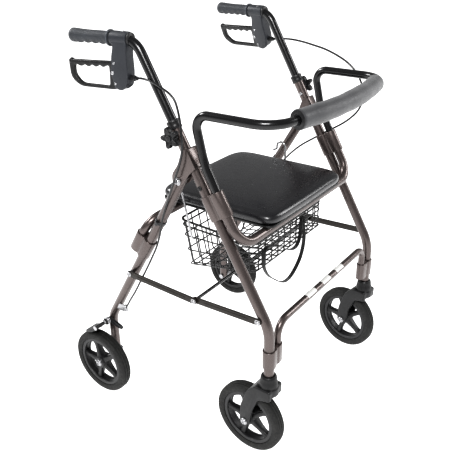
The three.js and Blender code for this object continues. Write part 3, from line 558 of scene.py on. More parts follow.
def twin(radius_a, radius_b, pitch, steps=20):
    """Outline that wraps two circles, the second at `pitch` along x."""
    lean = math.asin((radius_a - radius_b) / pitch)
    a = np.linspace(np.pi / 2 - lean, 3 * np.pi / 2 + lean, steps)
    b = np.linspace(-np.pi / 2 + lean, np.pi / 2 - lean, steps)
    first = radius_a * np.column_stack([np.cos(a), np.sin(a)])
    second = radius_b * np.column_stack([np.cos(b), np.sin(b)]) + (pitch, 0)
    return np.vstack([first, second])


def even(outline, count):
    """The closed outline at `count` points of equal spacing."""
    ring = np.vstack([outline, outline[:1]])
    run = np.concatenate([[0], np.cumsum(np.linalg.norm(np.diff(ring, axis=0), axis=1))])
    at = np.linspace(0, run[-1], count, endpoint=False)
    return np.column_stack([np.interp(at, run, ring[:, k]) for k in (0, 1)])


def slab(outline, low, high, edge=1.0, u=(0, 1, 0), v=(0, 0, 1), origin=(0, 0, 0), steps=4):
    """Outline in the plane of u and v, with thickness low..high along u x v.

    Both rims are quarter rounds of radius `edge`: inset edge(1 - sin a), rise edge(1 - cos a).
    """
    u, v = np.asarray(u, float), np.asarray(v, float)
    x, y = outline.T
    area = np.sum(x * np.roll(y, -1) - np.roll(x, -1) * y)
    outline = outline if area > 0 else outline[::-1]
    along = np.roll(outline, -1, 0) - np.roll(outline, 1, 0)
    inward = unit(np.column_stack([-along[:, 1], along[:, 0]]))
    a = np.linspace(0, np.pi / 2, steps + 1)
    inset = edge * (1 - np.sin(a))
    rise = edge * (1 - np.cos(a))
    insets = np.concatenate([inset, inset[::-1]])
    levels = np.concatenate([low + rise, high - rise[::-1]])
    flat = outline[None] + inward[None] * insets[:, None, None]
    rings = flat[..., :1] * u + flat[..., 1:] * v + levels[:, None, None] * np.cross(u, v)
    return skin(rings + np.asarray(origin, float))


def dome(centre, axis, radius, height, steps=6):
    """Spherical-looking button: radius times cos a, height times sin a."""
    a = np.linspace(0, np.pi / 2 * 0.96, steps)
    profile = np.column_stack([height * np.sin(a), radius * np.cos(a)])
    return turned(np.vstack([[-1.5, radius], profile]), centre, axis, 24)


def bolt_head(centre, axis, radius, height):
    """Button head with a hexagonal socket sunk in the middle."""
    a = np.linspace(0, np.pi / 2, 6)[:-1]
    crown = [(height * math.sin(k), radius * (0.45 + 0.55 * math.cos(k))) for k in a]
    sunk = [(height, radius * 0.4), (height * 0.45, radius * 0.38)]
    return turned([(-0.5, radius), *crown, *sunk], centre, axis, 30)


def hexagon(centre, axis, across, height):
    """Hexagon nut, corners eased at the outer face."""
    profile = [(0, across), (height - 0.8, across), (height, across - 0.9)]
    return turned(profile, centre, axis, 6)


# ---- making a piece -----------------------------------------------------------------------


def volume_of(points, faces):
    """Six times the enclosed volume, from fans of each face."""
    total = 0.0
    for size in {len(f) for f in faces}:
        group = np.array([f for f in faces if len(f) == size])
        first = points[group[:, 0]]
        for k in range(1, size - 1):
            total += np.einsum("ij,ij->", first, np.cross(points[group[:, k]], points[group[:, k + 1]]))
    return total


def mesh_of(name, shape):
    """The shape as a mesh, in metres in the frame, with its faces outwards."""
    points, faces = shape
    if volume_of(points, faces) < 0:
        faces = [face[::-1] for face in faces]
    mesh = bpy.data.meshes.new(name)
    mesh.from_pydata(((points + (0, SHIFT_Y, 0)) * MM).tolist(), [], faces)
    return mesh


def smooth(mesh, crease):
    """Smooth shading, but sharp at edges that turn by more than `crease` degrees."""
    mesh.polygons.foreach_set("use_smooth", np.ones(len(mesh.polygons), bool))
    mesh.set_sharp_from_angle(angle=math.radians(crease))


def applied(obj):
    """Gives the object the mesh that its modifiers make, and returns that mesh."""
    depsgraph = bpy.context.evaluated_depsgraph_get()
    done = bpy.data.meshes.new_from_object(obj.evaluated_get(depsgraph))
    obj.modifiers.clear()
    obj.data = done
    return done


def piece(name, shape, slot, body, replaces=(), material=None, crease=38):
    """Makes the mesh, gives it its finish, and puts it on its body for the nodes it stands for."""
    mesh = mesh_of(name, shape)
    smooth(mesh, crease)
    mesh.materials.append(material or FINISHES[slot])
    obj = linked(name, mesh)
    if replaces:
        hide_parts(*replaces)
    if body:
        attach(obj, body)
    return obj


CREASE = 35                       # of a refined or carved piece, in degrees


def refined(name, node, slot, body, bevel):
    """A merged copy of a frame node with eased edges, which stands for it."""
    mesh = frame["nodes"][node].data.copy()
    mesh.name = name
    obj = linked(name, mesh)
    weld = obj.modifiers.new("weld", "WELD")
    weld.merge_threshold = 0.00002
    flat = obj.modifiers.new("flat", "DECIMATE")
    flat.decimate_type = "DISSOLVE"
    flat.angle_limit = math.radians(1)
    ease = obj.modifiers.new("ease", "BEVEL")
    ease.width = bevel * MM
    ease.segments = 2
    ease.limit_method = "ANGLE"
    ease.angle_limit = math.radians(40)
    done = applied(obj)
    done.materials.clear()
    done.materials.append(FINISHES[slot])
    smooth(done, CREASE)
    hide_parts(node)
    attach(obj, body)


def carve(obj, tool):
    """Takes the tool's volume out of the piece."""
    cutter = linked("cutter", mesh_of("cutter", tool))
    modifier = obj.modifiers.new("carve", "BOOLEAN")
    modifier.operation = "DIFFERENCE"
    modifier.solver = "EXACT"
    modifier.object = cutter
    smooth(applied(obj), CREASE)
    bpy.data.objects.remove(cutter)


# ---- places in the frame ------------------------------------------------------------------

LEG_X = 250
LEG_RADIUS = 12
FRONT_LEAN = math.radians(29.55)
FRONT_KNEE = (0, 353)
REAR_KNEE = (494, 206)
HINGE = (224, 655)
REAR_LEAN = math.atan2(REAR_KNEE[0] - HINGE[0], HINGE[1] - REAR_KNEE[1])
FRONT_UP = np.array([0, math.sin(FRONT_LEAN), math.cos(FRONT_LEAN)])
FRONT_FORWARD = np.array([0, -math.cos(FRONT_LEAN), math.sin(FRONT_LEAN)])
REAR_UP = np.array([0, -math.sin(REAR_LEAN), math.cos(REAR_LEAN)])
REAR_BACK = np.array([0, math.cos(REAR_LEAN), math.sin(REAR_LEAN)])
PITCH = 28                        # between the two tubes of a twin sleeve


def on_front(side, distance, forward=0):
    """Point on a front leg, `distance` up from its knee, `forward` ahead of its centre line."""
    return np.array([side * LEG_X, *FRONT_KNEE]) + FRONT_UP * distance + FRONT_FORWARD * forward


def on_rear(side, distance, back=0):
    """Point on a rear leg, `distance` below its hinge, `back` behind its centre line."""
    return np.array([side * LEG_X, *HINGE]) - REAR_UP * distance + REAR_BACK * back


# ---- pull strap and brake cables ----------------------------------------------------------

STRAP_Y = 91
STRAP_ROUTE = [
    [46, 488], [48, 464], [54, 438], [53, 412], [46, 390], [34, 371], [14, 354], [-10, 342], [-35, 341],
    [-60, 352], [-85, 371], [-112, 394], [-129, 419], [-135, 442], [-134, 462], [-127, 473], [-116, 474],
    [-98, 467], [-75, 456], [-50, 441], [-25, 426], [-2, 417], [18, 419], [30, 432], [35, 452], [36, 470],
    [36, 488],
]
STRAP_WIDTH = 10
STRAP_THICKNESS = 2.2
STRAP_SIDES = 16


def pull_strap():
    """Flat webbing whose rounded section, wide along Y, follows the hanging loop."""
    path = flowing([(x, STRAP_Y, z) for x, z in STRAP_ROUTE], 8)
    tangent = carried(path)[0]
    wide = np.array([0.0, 1, 0])
    thin = unit(np.cross(tangent, wide))
    c = squared(STRAP_SIDES, 5)
    section = c[:, :1] * STRAP_THICKNESS / 2, c[:, 1:] * STRAP_WIDTH / 2
    rings = path[:, None] + thin[:, None] * section[0] + wide * section[1]
    strap = piece("hanging_strap", skin(rings), "webbing", "basket_unit", ["pull_strap"])
    run = np.concatenate([[0], np.cumsum(np.linalg.norm(np.diff(path, axis=0), axis=1))])
    across = np.tile(c[:, 1] * STRAP_WIDTH / 2, (len(path), 1)).ravel()
    uv = np.column_stack([np.repeat(run, STRAP_SIDES), across]) / STRAP_WIDTH
    layer = strap.data.uv_layers.new(name="strap")
    loops = np.zeros(len(strap.data.loops), np.int32)
    strap.data.loops.foreach_get("vertex_index", loops)
    layer.data.foreach_set("uv", uv[loops].ravel())
    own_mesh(strap)


pull_strap()

CABLE_RADIUS = 2.4
CABLE_STATIONS = 6                # to each stretch between two points of the route
CABLE_ROUTE = {
    "left": [
        [280.2, 335.2, 862.8], [279.7, 330, 863], [278.5, 319, 864.5], [277, 304, 866.5], [275, 288, 867.5],
        [272, 262, 867.5], [268, 232, 865], [265, 200, 860], [264, 166, 853], [264, 132, 841],
        [264, 102, 826], [264, 78, 806], [266, 62, 780], [268, 56, 752], [269, 58, 726],
        [268, 68, 704], [267, 86, 684], [268, 108, 666], [269, 132, 650], [269, 160, 632],
        [269, 190, 612], [267, 222, 590], [266, 250, 566], [265, 276, 538], [265, 300, 506],
        [265, 324, 468], [265, 348, 426], [265, 372, 384], [265, 394, 346], [264, 412, 310],
        [263, 424, 280], [262, 431, 262],
    ],
    "right": [
        [250.8, 338, 857], [250.3, 332.5, 857.1], [252.5, 321, 859], [259.5, 303, 860.5],
        [264.5, 285, 860.5], [266.5, 267, 856.5], [267, 250, 850], [267, 231, 841], [267, 217, 826],
        [269, 207, 796], [271, 203, 772], [275, 199, 748], [275, 201, 724], [275, 208, 700],
        [275, 218, 676], [275, 230, 648], [271, 246, 618], [266, 262, 588], [265, 274, 558],
        [265, 282, 530], [265, 290, 502], [265, 302, 472], [265, 320, 438], [265, 340, 402],
        [265, 362, 364], [265, 384, 326], [264, 404, 296], [263, 418, 274], [262, 428, 260],
    ],
}
# last point of the part that follows the handle, and a span of the route for each part
CABLE_SPLIT = {"left": 16, "right": 13}
UPPER_SPAN = {"left": ([0, 262, 867], [0, 132, 841]), "right": ([0, 245, 850], [0, 208, 710])}
LOWER_SPAN = {"left": ([0, 132, 650], [0, 276, 538]), "right": ([0, 222, 668], [0, 272, 560])}


def brake_cable(name, side):
    """Sheathed cable in two lengths that meet beside the hinge."""
    points = [[side * x, y, z] for x, y, z in CABLE_ROUTE[name]]
    path = flowing(points, CABLE_STATIONS)
    split = CABLE_SPLIT[name] * CABLE_STATIONS
    upper = (path[:split + 1], (f"handle_{name}", "front_frame"), UPPER_SPAN[name])
    lower = (path[split:], ("front_frame", "rear_frame"), LOWER_SPAN[name])
    for part, (stretch, bodies, span) in (("upper", upper), ("lower", lower)):
        shape = tube(stretch, CABLE_RADIUS, 16, 0.05)
        nodes = [f"brake_cable_{name}"] if part == "upper" else []
        obj = piece(f"cable_{part}_{name}", shape, "cable_sheath", None, nodes)
        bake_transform(obj)


for side_name, side_sign in SIDES:
    brake_cable(side_name, side_sign)

# ---- front frame --------------------------------------------------------------------------

STEM_TOP = 236.3                  # height at which the leg leaves the caster
LEG_LENGTH = 488                  # from the knee to the top end
COLLAR_START = 473
BORE_START = 235
HANDLE_RADIUS = 10.5
SEAT_TUBE_RADIUS = 11
SLEEVE_LENGTH = 56
SLEEVE_START = 265
LOWER_TUBE_Z = 353
CLEARANCE = 0.2


def front_leg(name, side):
    """Bent tube from the caster stem up, bored for the handle tube; a collar closes its top."""
    stem = (side * LEG_X, 0, STEM_TOP)
    path = bent([stem, (side * LEG_X, *FRONT_KNEE), on_front(side, LEG_LENGTH)], [110], 16)
    shape = tube(path, LEG_RADIUS, 36, 0.6, bore=(LEG_LENGTH - BORE_START, HANDLE_RADIUS + 0.3))
    piece(f"front_tube_{name}", shape, "frame_metal", "front_frame", [f"front_leg_{name}"])
    profile = [(0, 13.4), (0.8, 14.4), (4, 14.9), (5, 14.2), (14, 14.2), (15, 14.9), (18, 14.6), (19, 13.4),
               (19, 10.9), (15.5, 10.9), (15.5, 12.3), (0, 12.3)]
    collar = turned(profile, on_front(side, COLLAR_START), FRONT_UP, 44, loop=True)
    piece(f"tube_collar_{name}", collar, "black_plastic", "front_frame", [f"leg_collar_{name}"])


def hinge(name, side):
    """Channel bracket on the leg with its bolt: a button head outside and a nut inside."""
    refined(f"fold_bracket_{name}", f"hinge_bracket_{name}", "frame_metal", "front_frame", 1.0)
    outer = side * (LEG_X + 16)
    inner = side * (LEG_X - 16)
    head = turned([(-0.4, 8.6), (0.6, 9), (1.4, 8.8), (1.8, 7.4)], (outer, *HINGE), (side, 0, 0), 36)
    cap = bolt_head((outer + side * 1.6, *HINGE), (side, 0, 0), 6.6, 3.4)
    nut = merged(
        turned([(-0.3, 8.8), (0.9, 8.8), (1.3, 8.2)], (inner, *HINGE), (-side, 0, 0), 36),
        hexagon((inner - side * 1.3, *HINGE), (-side, 0, 0), 7, 5.2),
    )
    shank = between((side * (LEG_X - 17), *HINGE), (side * (LEG_X + 17), *HINGE), 4)
    shape = merged(head, cap, nut, shank)
    piece(f"fold_bolt_{name}", shape, "bright_metal", "front_frame", [f"hinge_bolt_{name}"])


def sleeve_between(start, along, across, length, radii, pitch):
    """Pressed sleeve round two tubes."""
    outline = even(twin(radii[0], radii[1], pitch), 96)
    outline[:, 1] *= 1 - 0.2 * np.exp(-(((outline[:, 0] - pitch / 2) / 4.5) ** 2))
    side = np.cross(along, across)
    return slab(outline, 0, length, 1.2, u=across, v=side, origin=start)


def front_sleeve(name, side):
    """Sleeve that holds the leg and the end of the seat tube, bored through for both."""
    start = on_front(side, SLEEVE_START)
    shape = sleeve_between(start, FRONT_UP, FRONT_FORWARD, SLEEVE_LENGTH, (15, 14.6), PITCH)
    obj = piece(f"seat_tube_sleeve_{name}", shape, "frame_metal", "front_frame", [f"front_sleeve_{name}"])
    low, high = SLEEVE_START - 10, SLEEVE_START + SLEEVE_LENGTH + 10
    for forward, radius in ((0, LEG_RADIUS), (PITCH, SEAT_TUBE_RADIUS)):
        ends = on_front(side, low, forward), on_front(side, high, forward)
        carve(obj, between(*ends, radius + CLEARANCE, 36))


def lower_clamp(name, side):
    start = np.array([side * LEG_X, 0, 257.0])
    shape = sleeve_between(start, np.array([0, 0, 1.0]), np.array([-side, 0, 0.0]), 46, (15, 11.4), 34)
    piece(f"cross_tube_clamp_{name}", shape, "frame_metal", "front_frame", [f"lower_clamp_{name}"])


def seat_support_tube():
    """U tube under the front of the seat, down from one sleeve and up into the other."""
    top, front = 287, (71, 535)
    ends = on_front(1, top, PITCH), on_front(-1, top, PITCH)
    path = bent([ends[0], (LEG_X, *front), (-LEG_X, *front), ends[1]], [46, 46], 14)
    shape = tube(path, SEAT_TUBE_RADIUS, 32)
    piece("front_seat_tube", shape, "frame_metal", "front_frame", ["seat_support_tube"])


LOWER_TUBE = [(216, 0, 255), (216, 0, LOWER_TUBE_Z), (-216, 0, LOWER_TUBE_Z), (-216, 0, 255)]


def lower_cross_tube():
    """Cross tube between the front legs, with three blank labels wrapped over its top."""
    path = bent(LOWER_TUBE, [34, 34], 12)
    piece("lower_brace_tube", tube(path, 8.5, 28), "frame_metal", "front_frame", ["lower_cross_tube"])
    for number, (start, end) in enumerate([(-92, -52), (-18, 20), (52, 88)]):
        angle = np.radians(np.linspace(20, 170, 24))
        outside = np.column_stack([-np.cos(angle), np.sin(angle)])
        arc = np.vstack([outside * 8.75, outside[::-1] * 8.55])
        x = np.array([start, start + 0.4, end - 0.4, end], float)
        rings = np.stack([np.insert(arc + (0, LOWER_TUBE_Z), 0, k, axis=1) for k in x])
        piece(f"label_{number + 1}", skin(rings), "black_plastic", "front_frame", material=LABEL)


def leg_fittings(name, side):
    """Rubber bumper on the outside of the leg and the two pins on its inside."""
    outer = side * (LEG_X + LEG_RADIUS - 0.3)
    bumper = on_front(side, 341)
    shape = dome((outer, bumper[1], bumper[2]), (side, 0, 0), 5.6, 3.2)
    piece(f"leg_bumper_{name}", shape, "black_plastic", "front_frame")
    inner = side * (LEG_X - LEG_RADIUS + 0.4)
    pins = [bolt_head((inner, *on_front(side, s)[1:]), (-side, 0, 0), 5.0, 2.6) for s in (441, 392)]
    piece(f"leg_pins_{name}", merged(*pins), "bright_metal", "front_frame")


for side_name, side_sign in SIDES:
    front_leg(side_name, side_sign)
    hinge(side_name, side_sign)
    front_sleeve(side_name, side_sign)
    lower_clamp(side_name, side_sign)
    leg_fittings(side_name, side_sign)
seat_support_tube()
lower_cross_tube()

# ---- backrest -----------------------------------------------------------------------------

BACKREST_Z = 804
PAD_HALF = 178
CROWN_Y = -32
END_Y = -12
PAD_SIDES = 56


def bow(reach):
    """Forward bow of the backrest: a parabola from its crown to the ends of the pad."""
    x = np.asarray(reach, float)
    y = CROWN_Y + (END_Y - CROWN_Y) * (x / PAD_HALF) ** 2
    return np.stack([x, y, np.full_like(x, BACKREST_Z)], axis=-1)


def backrest():
    """Bowed tube with its two arms, the foam roll round its middle and the roll's cut ends."""
    def half(side):
        return [on_front(side, 291, PITCH), (side * 250, 163, 704), (side * 250, 186, 804),
                (side * 246, 0, 804)]

    corners = [*half(1), bow(150), bow(0), bow(-150), *half(-1)[::-1]]
    path = bent(corners, [150, 28, 62, 150, 600, 150, 62, 28, 150], 12)
    piece("backrest_bar", tube(path, 9.5, 30), "black_tube", "backrest", ["backrest_tube"])
    x = np.concatenate([[PAD_HALF, PAD_HALF - 0.6], np.linspace(PAD_HALF - 2, 2 - PAD_HALF, 90),
                        [0.6 - PAD_HALF, -PAD_HALF]])
    run = PAD_HALF - np.abs(x)
    round_end = 21 - 1.2 * np.clip(1 - run / 2, 0, 1) ** 2
    swell = 0.35 * np.sin(x / 23) + 0.25 * np.sin(x / 9.7 + 1)
    normal, binormal = carried(bow(x))[1:]
    c = circle(PAD_SIDES)
    angle = np.arange(PAD_SIDES) * 2 * np.pi / PAD_SIDES
    dent = 1 + 0.006 * np.sin(3 * angle)[None] * np.sin(x / 40)[:, None]
    ring = normal[:, None] * c[:, :1] + binormal[:, None] * c[:, 1:]
    size = (round_end + swell * (run > 8) - 0.4)[:, None] * dent
    pad = piece("backrest_foam", skin(bow(x)[:, None] + ring * size[..., None]), "foam", "backrest",
                ["backrest_pad"], crease=50)
    ends = [turned([(-0.2, 19.9), (0.6, 19.7), (0.9, 18.8), (0.9, 11), (-0.2, 10.4)], bow(side * PAD_HALF),
                   bow(side * PAD_HALF) - bow(side * (PAD_HALF - 4)), 48, loop=True) for side in (1, -1)]
    piece("foam_cut_ends", merged(*ends), "black_plastic", "backrest")


backrest()

# ---- handles ------------------------------------------------------------------------------

HANDLE_Z = 936
HANDLE_KNEE_Y = (HANDLE_Z - FRONT_KNEE[1]) * math.tan(FRONT_LEAN)
SPLAY = 0.1034
GRIP_START_Y = 388
HOUSING_TURN = {"left": -0.384, "right": 0.0}


def handle_axis(side, y):
    return np.array([side * (LEG_X + SPLAY * (y - HANDLE_KNEE_Y)), y, HANDLE_Z])


def on_handle(shape, side, turn=0.0):
    """From the grip's own axes (+Y along the grip, origin at the brake clamp) to the walker's."""
    return moved(shape, about_z(-side * math.atan(SPLAY)) @ about_y(turn), handle_axis(side, GRIP_START_Y))


def handle_tube(name, side):
    path = bent([on_front(side, 330), handle_axis(side, HANDLE_KNEE_Y), handle_axis(side, 495)], [50], 16)
    shape = tube(path, HANDLE_RADIUS, 32)
    piece(f"handle_bar_{name}", shape, "black_tube", f"handle_{name}", [f"handle_tube_{name}"])


GRIP_PROFILE = np.array([
    [4, 16.2], [4.6, 17.2], [7.4, 17.2], [8.2, 16.2], [9, 13.4], [11, 12.7], [20, 12.9], [34, 13.1],
    [60, 12.9], [84, 13.5], [98, 14.5], [105, 14.9], [109, 14.6], [111.6, 13.2], [113, 10.4], [113.4, 6],
])


def grip(name, side):
    """Moulded grip: a turned profile, fine rings all round and four finger waves below."""
    a = np.concatenate([GRIP_PROFILE[:6, 0], np.linspace(12, 104, 150), GRIP_PROFILE[-5:, 0]])
    base = np.interp(a, *GRIP_PROFILE.T)
    ribs = 0.28 * np.cos(2 * np.pi * a / 3.1) * ((a > 16) & (a < 96))
    angle = 2 * np.pi * np.arange(64) / 64
    below = np.clip(-np.sin(angle), 0, 1) ** 1.5
    waves = -1.3 * np.cos(2 * np.pi * (a - 16) / 20.5) * ((a > 16) & (a < 98))
    radius = (base + ribs)[:, None] + waves[:, None] * below[None]
    rings = np.stack([
        radius * np.cos(angle), np.repeat(a[:, None], 64, 1), radius * np.sin(angle),
    ], axis=-1)
    shape = on_handle(skin(rings), side)
    piece(f"hand_grip_{name}", shape, "grip_rubber", f"handle_{name}", [f"grip_{name}"], crease=50)


HOUSING = rounded([
    (-2, 8, 5), (-41, 9, 5), (-42, -14, 4), (-40, -34, 6), (-41, -70, 8), (-36, -96, 8),
    (-20, -107, 8), (-3, -102, 6), (4, -70, 9), (0, -36, 8), (-6, -16, 5),
])
HOUSING_HALF = 14
PIVOTS = ((-7, -49, 3.2), (-1, -70, 4.2), (-7, -92, 3.2))


def brake_housing(name, side):
    """Cheeks below a clamp, slotted for the lever, with rivets, adjuster and clamp screw."""
    turn = HOUSING_TURN[name]
    body = f"handle_{name}"
    block = on_handle(slab(even(HOUSING, 120), -HOUSING_HALF, HOUSING_HALF, 3.2), side, turn)
    housing = piece(f"brake_body_{name}", block, "slate_plastic", body, [f"brake_housing_{name}"])
    slot = np.array([(-35, -120), (40, -120), (40, -42), (-35, -42)], float)
    carve(housing, on_handle(slab(slot, -6.5, 6.5, 0.01), side, turn))
    clamp = turned([(-42.6, 13.6), (-42, 14.8), (-38, 15.1), (-2, 15.1), (0.4, 14.9), (1, 13.8)],
                   (0, 0, 0), (0, 1, 0), 48)
    rings = merged(
        turned([(-48.5, 12.4), (-47.8, 13.4), (-44, 13.6), (-43, 13.2)], (0, 0, 0), (0, 1, 0), 44),
        turned([(1.2, 13.2), (1.6, 14.2), (3, 14.2), (3.6, 13.4)], (0, 0, 0), (0, 1, 0), 44),
    )
    piece(f"brake_clamp_{name}", on_handle(clamp, side, turn), "slate_plastic", body)
    piece(f"clamp_rings_{name}", on_handle(rings, side, turn), "black_plastic", body)
    adjuster = turned(
        [(-36, 5.2), (-41, 5.2), (-41.4, 6), (-43, 6.2), (-43.4, 5.2), (-44.4, 5.2), (-44.8, 6.2),
         (-46.4, 6.2), (-46.8, 5.2), (-47.8, 5.2), (-48.2, 6.2), (-50, 6), (-50.6, 4.6), (-56, 4.2),
         (-56.4, 3.4)], (0, 0, -79), (0, 1, 0), 26)
    piece(f"cable_adjuster_{name}", on_handle(adjuster, side, turn), "black_plastic", body)
    rivets = [bolt_head((end * (HOUSING_HALF - 0.2), y, z), (end, 0, 0), r, 1.8)
              for end in (-1, 1) for y, z, r in PIVOTS]
    button = turned([(-1, 5), (1.6, 5), (2.6, 4.4), (3, 3)], (0, -28, 12.6), (0, 0, 1), 30)
    piece(f"brake_rivets_{name}", on_handle(merged(*rivets, button), side, turn), "bright_metal", body)


LEVER_OUTER = rounded([
    (-10, -47, 5), (-30, -56, 7), (-32, -84, 7), (-16, -99, 6), (4, -108, 6), (103, -110, 16),
    (127, -92, 12), (129, -52, 7), (60, -50, 20),
])
LEVER_INNER = rounded([
    (16, -58, 5), (60, -60, 20), (114, -62, 9), (115, -84, 9), (97, -102, 11), (18, -101, 6),
])
LEVER_HALF = 5.5
BALL_RADIUS = 7
BALL_PLACE = (0, 122, -56)
LATITUDE = np.linspace(0.15, np.pi - 0.15, 14)


def brake_lever(name, side):
    """Finger loop: a rounded section stretched between its inner and outer outline."""
    centre = np.array([62, -81.0])
    inner = even(LEVER_INNER, 240)
    top = (inner[:, 1] > -68) & (inner[:, 0] > 22) & (inner[:, 0] < 104)
    inner[:, 1] -= top * 1.9 * (1 - np.cos(2 * np.pi * (inner[:, 0] - 22) / 20.5))
    outer = even(LEVER_OUTER, 600) - centre
    bearing = np.arctan2(outer[:, 1], outer[:, 0])
    order = np.argsort(bearing)
    reach = np.linalg.norm(outer, axis=1)[order]
    ray = inner - centre
    towards = np.arctan2(ray[:, 1], ray[:, 0])
    outside = centre + unit(ray) * np.interp(towards, bearing[order], reach, period=2 * np.pi)[:, None]
    c = squared(20, 3.4)
    middle, half = (inner + outside) / 2, (outside - inner) / 2
    flat = middle[:, None] + half[:, None] * c[:, :1]
    across = np.broadcast_to(c[:, 1] * LEVER_HALF, flat.shape[:2])
    rings = np.concatenate([across[..., None], flat], axis=-1)
    profile = np.column_stack([-np.cos(LATITUDE), np.sin(LATITUDE)]) * BALL_RADIUS
    ball = turned(profile, BALL_PLACE, (0, 0, 1), 28)
    shape = on_handle(merged(skin(rings, loop=True), ball), side, HOUSING_TURN[name])
    piece(f"brake_loop_{name}", shape, "black_plastic", f"lever_{name}", [f"brake_lever_{name}"], crease=70)


def height_knob(name, side):
    """Five-lobed knob: radius 18 + 5.5 cos 5a, rounded at both faces, with a sunk middle."""
    sides, middle = 144, 18
    a = 2 * np.pi * np.arange(sides) / sides
    edge = middle + 5.5 * np.cos(5 * a + 0.4)
    levels = np.array([21, 21.4, 22.6, 31.6, 33.2, 34.2, 34.8, 34.6, 33.4, 33.2])
    scale = np.array([0.9, 0.96, 1, 1, 0.96, 0.88, 0.76, 0.62, 0.55, 0.4])
    lobed = np.array([1, 1, 1, 1, 1, 1, 0.9, 0.5, 0.2, 0])
    radius = scale[:, None] * (middle + lobed[:, None] * (edge - middle)[None])
    rings = np.stack([
        np.repeat(levels[:, None], sides, 1), radius * np.cos(a), radius * np.sin(a),
    ], axis=-1)
    centre = on_front(1, 460)
    disc = moved(skin(rings), by=centre)
    hub = turned([(12.3, 8), (21.5, 8)], centre, (1, 0, 0), 30)
    button = turned([(32, 6.2), (35.4, 6.2), (36.2, 5.4), (36.5, 3)], centre, (1, 0, 0), 30)
    shape = mirrored(merged(disc, hub, button), side)
    piece(f"star_knob_{name}", shape, "black_plastic", f"knob_{name}", [f"height_knob_{name}"])


for side_name, side_sign in SIDES:
    handle_tube(side_name, side_sign)
    grip(side_name, side_sign)
    brake_housing(side_name, side_sign)
    brake_lever(side_name, side_sign)
    height_knob(side_name, side_sign)

# ---- rear frame ---------------------------------------------------------------------------


REAR_SLEEVE_START = 262           # below the hinge, along the leg
CLIP_PLACE = 136


def rear_leg(name, side):
    """Bent tube from the hinge down past the axle, with the sleeve of the rear seat tube."""
    foot = (side * LEG_X, REAR_KNEE[0], 76)
    path = bent([on_rear(side, -14), (side * LEG_X, *REAR_KNEE), foot], [90], 16)
    shape = tube(path, LEG_RADIUS, 36)
    piece(f"rear_tube_{name}", shape, "frame_metal", "rear_frame", [f"rear_leg_{name}"])
    start = on_rear(side, REAR_SLEEVE_START)
    shape = sleeve_between(start, REAR_UP, REAR_BACK, SLEEVE_LENGTH, (15, 14), PITCH)
    piece(f"rear_tube_sleeve_{name}", shape, "frame_metal", "rear_frame", [f"rear_sleeve_{name}"])


def rear_cross_tube():
    """U tube under the rear of the seat, level at `top` and down into both rear sleeves."""
    foot, top = 254, 529
    level = (HINGE[1] - top + PITCH * REAR_BACK[2]) / REAR_UP[2]
    path = bent([on_rear(1, foot, PITCH), on_rear(1, level, PITCH), on_rear(-1, level, PITCH),
                 on_rear(-1, foot, PITCH)], [40, 40], 14)
    shape = tube(path, SEAT_TUBE_RADIUS, 32)
    piece("rear_seat_tube", shape, "frame_metal", "rear_frame", ["rear_cross_tube"])


def cable_fittings(name, side):
    """Stop bracket on the rear leg and bare inner wire down to the shoe arm."""
    stop = np.array([side * 262, 429.5, 259.0])
    down = unit(np.array([side * 3, 9, -46.0]))
    cup = turned([(-9, 3.0), (-8, 3.8), (3, 3.8), (4, 3.2), (6, 1.8)], stop, down, 24)
    outline = rounded([(422, 250, 3), (426, 264, 4), (452, 264, 4), (462, 246, 3), (436, 244, 5)])
    bracket = mirrored(slab(outline, 258, 261.6, 0.5), side)
    piece(f"cable_stop_{name}", merged(cup, bracket), "bright_metal", "rear_frame")
    end = np.array([side * 265.5, 448, 194.0])
    piece(f"cable_wire_{name}", between(stop, end, 0.9, 10, 0.1), "bright_metal", "rear_frame")


def cable_clip(name, side):
    """Plastic clip that holds the cable on the rear leg."""
    on_leg = on_rear(side, CLIP_PLACE)
    on_cable = on_leg + np.array([side * 15.2, 0, 0])
    band = turned([(-5, 12.4), (-4.4, 13.6), (4.4, 13.6), (5, 12.4)], on_leg, REAR_UP, 36)
    eye = turned([(-5, 4.0), (-4.6, 4.6), (4.6, 4.6), (5, 4.0)], on_cable, REAR_UP, 24)
    piece(f"cable_clip_{name}", merged(band, eye), "black_plastic", "rear_frame")


for side_name, side_sign in SIDES:
    rear_leg(side_name, side_sign)
    cable_fittings(side_name, side_sign)
    cable_clip(side_name, side_sign)
rear_cross_tube()

# ---- folding braces -----------------------------------------------------------------------

BRACE_FRONT = (20, 377)
BRACE_MIDDLE = (191, 371)
BRACE_REAR = (392, 377)
BRACE_X = 262.8
BRACE_THICK = 4.5


def brace_bar(start, end, inner):
    """Flat bar with round ends and a shallow pressed channel between its pivots."""
    start, end = np.array(start, float), np.array(end, float)
    length = np.linalg.norm(end - start)
    along = np.array([0, *(end - start) / length])
    up = np.cross(np.array([1.0, 0, 0]), along)
    origin = np.array([0, *start])
    bar = slab(twin(8, 8, length), inner, inner + BRACE_THICK, 0.9, u=along, v=up, origin=origin)
    rib = slab(twin(2.6, 2.6, length - 56) + (28, 0), inner + BRACE_THICK - 0.4, inner + BRACE_THICK + 0.7,
               0.9, u=along, v=up, origin=origin)
    return merged(bar, rib)


